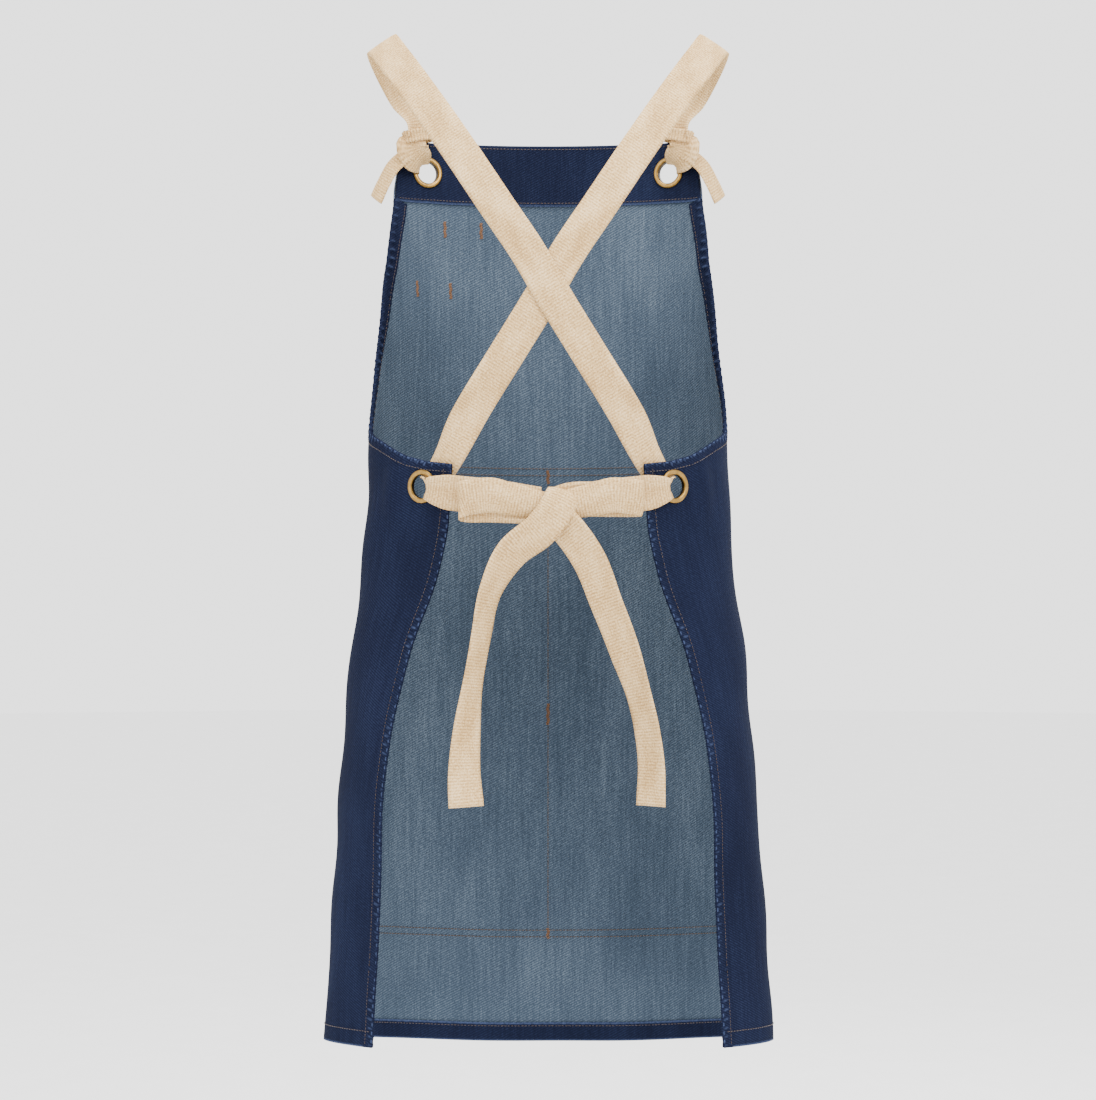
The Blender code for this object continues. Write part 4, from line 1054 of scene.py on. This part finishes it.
def make_bow():
    """The bow: two flattened loops whose back layers hang a little lower, the wrap that crosses the knot and
    falls as one tail, and the other tail that comes out beneath it."""
    for word, side, back_drop, pinch, back_pinch in (("left", 1, 0.0072, 0.0060, 0.0040),
                                                     ("right", -1, 0.0020, 0.0100, -0.0010)):
        middle = bow_place() + (0, BOW_LOOP_LAYER, BOW_LOOP_LIFT - 0.0012)
        start = middle + (-0.10 * side * BOW_LOOP, -0.35 * BOW_LOOP_DEPTH, -0.0080)
        stations = [(start, (0, 0, 1), 90, 0.7)]
        for out, depth in LOOP_ROUTE:
            front = 0.5 + 0.5 * depth / 0.74
            tuck = max(0.0, 1 - out / 0.62)
            sink = back_drop * (1 - front) + (pinch * front + back_pinch * (1 - front)) * tuck
            sink = sink + 0.0012 * math.sin(7 * out) * front
            stations.append((middle + (side * out * BOW_LOOP, depth * BOW_LOOP_DEPTH, -sink),
                             (0.06 * side, 0.16 * depth, 1), 34 * front + 8 + 60 * tuck,
                             1 - 0.25 * tuck * front))
        end = middle + (-0.10 * side * BOW_LOOP, 0.30 * BOW_LOOP_DEPTH, -pinch - 0.002)
        stations.append((end, (0, 0, 1), 100, 0.6))
        webbing(f"bow_loop_webbing_{word}", stations, [f"bow_loop_{word}"], held="folded", hand=side,
                rests_on=["bow_wrap"], wrinkle=0.0003)
    knot = np.array(BOW_KNOT)
    wrap = [(bow_place() + knot * spot, way, curl) for spot, way, curl in WRAP_ROUTE]
    wrap += tail_stations(TAILS["bow_tail_left"][1:], 0.5 * BOW_TAIL_OVER)
    webbing("bow_wrap", wrap, ["bow_knot", "bow_tail_left"], wrinkle=0.0002)
    under = [(bow_place() + knot * (0.35, 0.30, 0.25), (-0.75, 0, 0.55), 60)]
    under += tail_stations(TAILS["bow_tail_right"], 0.0)
    webbing("bow_tail_webbing_right", under, ["bow_tail_right"], hand=-1, rests_on=["bow_wrap"],
            wrinkle=0.0002)


def tail_stations(route, over):
    """Stations of a tail of the bow, which starts so far over its own layer and soon sinks to it."""
    return [(bow_place() + (across * TAIL_SPREAD,
                            BOW_TAIL_LAYER + over * smooth_step(1 - down / BOW_TAIL_SINKS),
                            -down * TAIL_DROP),
             tail_width(across, turn, lean), 14) for across, down, turn, lean in route]


def tail_width(across, turn, lean):
    """Way of a tail's width from its turn about the vertical and its lean in the plane of the back."""
    sway = math.copysign(1, across)
    turn, lean = math.radians(turn), math.radians(lean)
    return (-math.cos(turn) * math.cos(lean), -sway * math.sin(turn), -math.cos(turn) * math.sin(lean))


def stitches(name, rows, material, radius=THREAD, length=TOPSTITCH_LENGTH):
    """Rows of stitches as small arched threads. Each row is a path of flat points with its height over the
    cloth; stitches stand at even steps along it, each a five-ring bead whose ends sink into the cloth."""
    beads = []
    for s, down, height, pitch in rows:
        s, down = np.asarray(s, float), np.asarray(down, float)
        run = lengths_along(np.diff(s), np.diff(down) * APRON_LENGTH)
        at = np.arange(0.5 * pitch, run[-1], pitch)[:, None]
        at = at + np.array([-0.5, -0.3, 0, 0.3, 0.5])[None, :] * length * pitch / TOPSTITCH_PITCH
        arch = np.array([-0.6, 0.55, 0.8, 0.55, -0.6])[None, :] * radius
        path_s, path_down = np.interp(at, run, s), np.interp(at, run, down)
        tall = np.interp(at, run, np.broadcast_to(height, run.shape))
        sign = np.sign(tall)
        centre = on_cloth(path_s, path_down, tall + sign * arch)
        beads.append((centre, sign[..., None] * facing_out(cloth, path_s, path_down)))
    centre, up = (np.concatenate(part) for part in zip(*beads))
    ahead = unit(np.gradient(centre, axis=1))
    aside = np.cross(ahead, up)
    size = radius * np.array([0.55, 1, 1.05, 1, 0.55])[None, :, None]
    corners = [centre + size * (c * aside + d * up) for c, d in ((1, 0), (0, 1), (-1, 0), (0, -1))]
    bead = np.concatenate([grid_faces(5, 4, wrap=True), [(3, 2, 1, 0), (16, 17, 18, 19)]])
    faces = (bead[None] + 20 * np.arange(len(centre))[:, None, None]).reshape(-1, 4)
    made = piece(name, np.stack(corners, axis=2), faces, [material])
    face_out(made)


def level_row(half, down, height):
    """Row across the cloth, as far to either side."""
    return np.linspace(-half, half, 200), np.full(200, down), height, TOPSTITCH_PITCH


def upright_row(s, top, bottom, height):
    """Row straight down the cloth."""
    return np.full(200, s), np.linspace(top, bottom, 200), height, TOPSTITCH_PITCH


def edge_row(side, start, stop, insets, height):
    """Row that runs beside the outline, at an inset that goes evenly from one value to another."""
    at, s, down, inward, sink = edge_path(start, stop, 400)
    inset = np.interp(at, (0, at[-1]), insets)
    return side * (s + inset * inward), down + inset * sink / APRON_LENGTH, height, TOPSTITCH_PITCH


def make_stitching():
    """Every seam's rows, on the outer face and where the same seam shows inside."""
    out = CLOTH_THICK / 2 + SKIN_LIFT
    hem_in = -(CLOTH_THICK / 2 + GAP + HEM_THICK)
    bare_in = -CLOTH_THICK / 2
    panel_out = CLOTH_THICK / 2 + 2 * GAP + SEWN_WALL
    pocket_out = panel_out + 2 * GAP + SEWN_WALL
    facing_row = (FACING_DROP - 0.0032) / APRON_LENGTH
    inset = ROW_INSET / APRON_LENGTH
    apart = ROW_APART / APRON_LENGTH
    half_bib = float(edge_half(facing_row)) - 0.004
    half_panel = PANEL_HALF - ROW_INSET
    outer, inner, seams = [], [], []
    for face, sewn in ((outer, out), (inner, hem_in)):
        face.append(level_row(half_bib, facing_row, sewn))
        face.append(level_row(half_bib - 0.006, 0.0035 / APRON_LENGTH, sewn))
        face.append(level_row(HALF_WIDTH - 0.004, HEM_ROW + inset, sewn))
        for side in (1, -1):
            face.append(edge_row(side, FACING_DROP / APRON_LENGTH, CORNER_DOWN,
                                 (BIB_HEM - ROW_INSET, WING_TOP_HEM - 0.002), sewn))
            face.append(edge_row(side, CORNER_DOWN + 0.004, 0.998, [WING_HEM - 0.0025] * 2, sewn))
    for face, tier, cap in ((outer, panel_out, pocket_out), (seams, bare_in, bare_in)):
        for level in (PANEL_TOP + inset, PANEL_TOP + inset + apart):
            face.append(level_row(half_panel, level, tier))
        for level in (PANEL_BOTTOM - inset, PANEL_BOTTOM - inset - apart):
            face.append(level_row(half_panel, level, cap))
        face.append(upright_row(0.0, PANEL_TOP + apart, POCKET_TOP - 0.004, tier))
        face.append(upright_row(0.0, POCKET_TOP, PANEL_BOTTOM, cap))
        for s in (half_panel, half_panel - ROW_APART):
            for side in (1, -1):
                face.append(upright_row(side * s, PANEL_TOP, POCKET_TOP - 0.004, tier))
                face.append(upright_row(side * s, POCKET_TOP + 0.002, PANEL_BOTTOM, cap))
    stitches("topstitching_outside", outer, BROWN_THREAD)
    stitches("topstitching_inside", inner, BROWN_THREAD)
    stitches("seam_threads_inside", seams, BROWN_THREAD, SEAM_THREAD, 1.3 * TOPSTITCH_LENGTH)


def make_bartacks():
    """Bar-tacks: short blocks of close cross stitches, each thread lying across the block's length. A block
    is its place across, its level, its height and its seat over the cloth outside."""
    bare, step_up = CLOTH_THICK / 2, 2 * GAP + SEWN_WALL
    blocks = [(across * HALF_WIDTH + end * CHEST_LOOP_LENGTH, level, 0.0145, bare + GAP + PANEL_THICK)
              for across, level in CHEST_LOOPS.values() for end in (-0.45, 0.45)]
    blocks += [(0.0, PANEL_TOP + 0.011 / APRON_LENGTH, 0.012, bare + step_up),
               (0.0, POCKET_TOP + 0.009 / APRON_LENGTH, 0.020, bare + 2 * step_up),
               (0.0, PANEL_BOTTOM - 0.006 / APRON_LENGTH, 0.010, bare + 2 * step_up)]
    rows = []
    for s, level, tall, seat in blocks:
        for height in (seat, -bare):
            for step in np.arange(-0.5, 0.5001, BARTACK_STEP / tall):
                down = level + step * tall / APRON_LENGTH
                skew = 0.0004 * math.sin(900 * step * tall)
                ends = np.array([-BARTACK_HALF, BARTACK_HALF]) + s + skew
                rows.append((ends, np.array([down, down]), height, 2 * BARTACK_HALF))
    stitches("bartacks", rows, RUST_THREAD, BARTACK_THREAD, 0.0033)


def area_light(name, place, size, power, colour=(1, 1, 1)):
    """Round soft lamp that faces the apron's middle."""
    lamp = bpy.data.lights.new(name, "AREA")
    lamp.shape = "DISK"
    lamp.size = size
    lamp.energy = power
    lamp.color = colour
    obj = placed(name, lamp)
    obj.location = place
    obj.rotation_euler = (Vector(LIT) - Vector(place)).to_track_quat("-Z", "Y").to_euler()


def make_studio():
    """Pale floor, white surround and large soft lamps, and the camera at the photograph's angle: level,
    straight from behind, 2.4 m from the shoulders, at the height of the bow."""
    rings = np.array([0.0001, 1, 2.5, 5, 9, 14.0])
    angle = np.linspace(0, 2 * math.pi, 48, endpoint=False)
    points = np.stack([rings[:, None] * np.cos(angle), rings[:, None] * np.sin(angle),
                       np.full((len(rings), 48), FLOOR)], axis=-1)
    faces = grid_faces(len(rings), 48, wrap=True)
    mesh = bpy.data.meshes.new("floor")
    mesh.from_pydata(points.reshape(-1, 3).tolist(), [], faces.tolist())
    mesh.materials.append(studio_paper())
    placed("floor", mesh)
    world = bpy.data.worlds.new("white_surround")
    world.use_nodes = True
    light = world.node_tree.nodes["Background"].inputs
    light["Color"].default_value = (1, 1, 1, 1)
    light["Strength"].default_value = SURROUND
    bpy.context.scene.world = world
    area_light("key_softbox", (-1.5, 2.2, 1.1), 1.5, 70, (1, 0.985, 0.96))
    area_light("fill_softbox", (1.9, 1.9, 0.3), 1.8, 18)
    area_light("front_softbox", (-1.2, -2.4, 0.8), 1.8, 40)
    area_light("top_softbox", (0, 0.5, 1.7), 1.5, 85)
    lens = bpy.data.cameras.new("camera")
    lens.sensor_fit = "HORIZONTAL"
    lens.sensor_width = 36
    lens.lens = 36 * FOCAL_PX / FRAME_WIDE_PX
    camera = placed("camera", lens)
    camera.location = (0, CAMERA_BACK, CAMERA_HEIGHT)
    camera.rotation_euler = (math.radians(90), 0, math.radians(180))
    bpy.context.scene.camera = camera


make_studio()
make_cloth()
make_facing()
make_hems()
make_skirt_hem()
make_front_pieces()
make_chest_loops()
make_eyelets()
make_straps()
make_top_knots()
make_bow()
make_stitching()
make_bartacks()
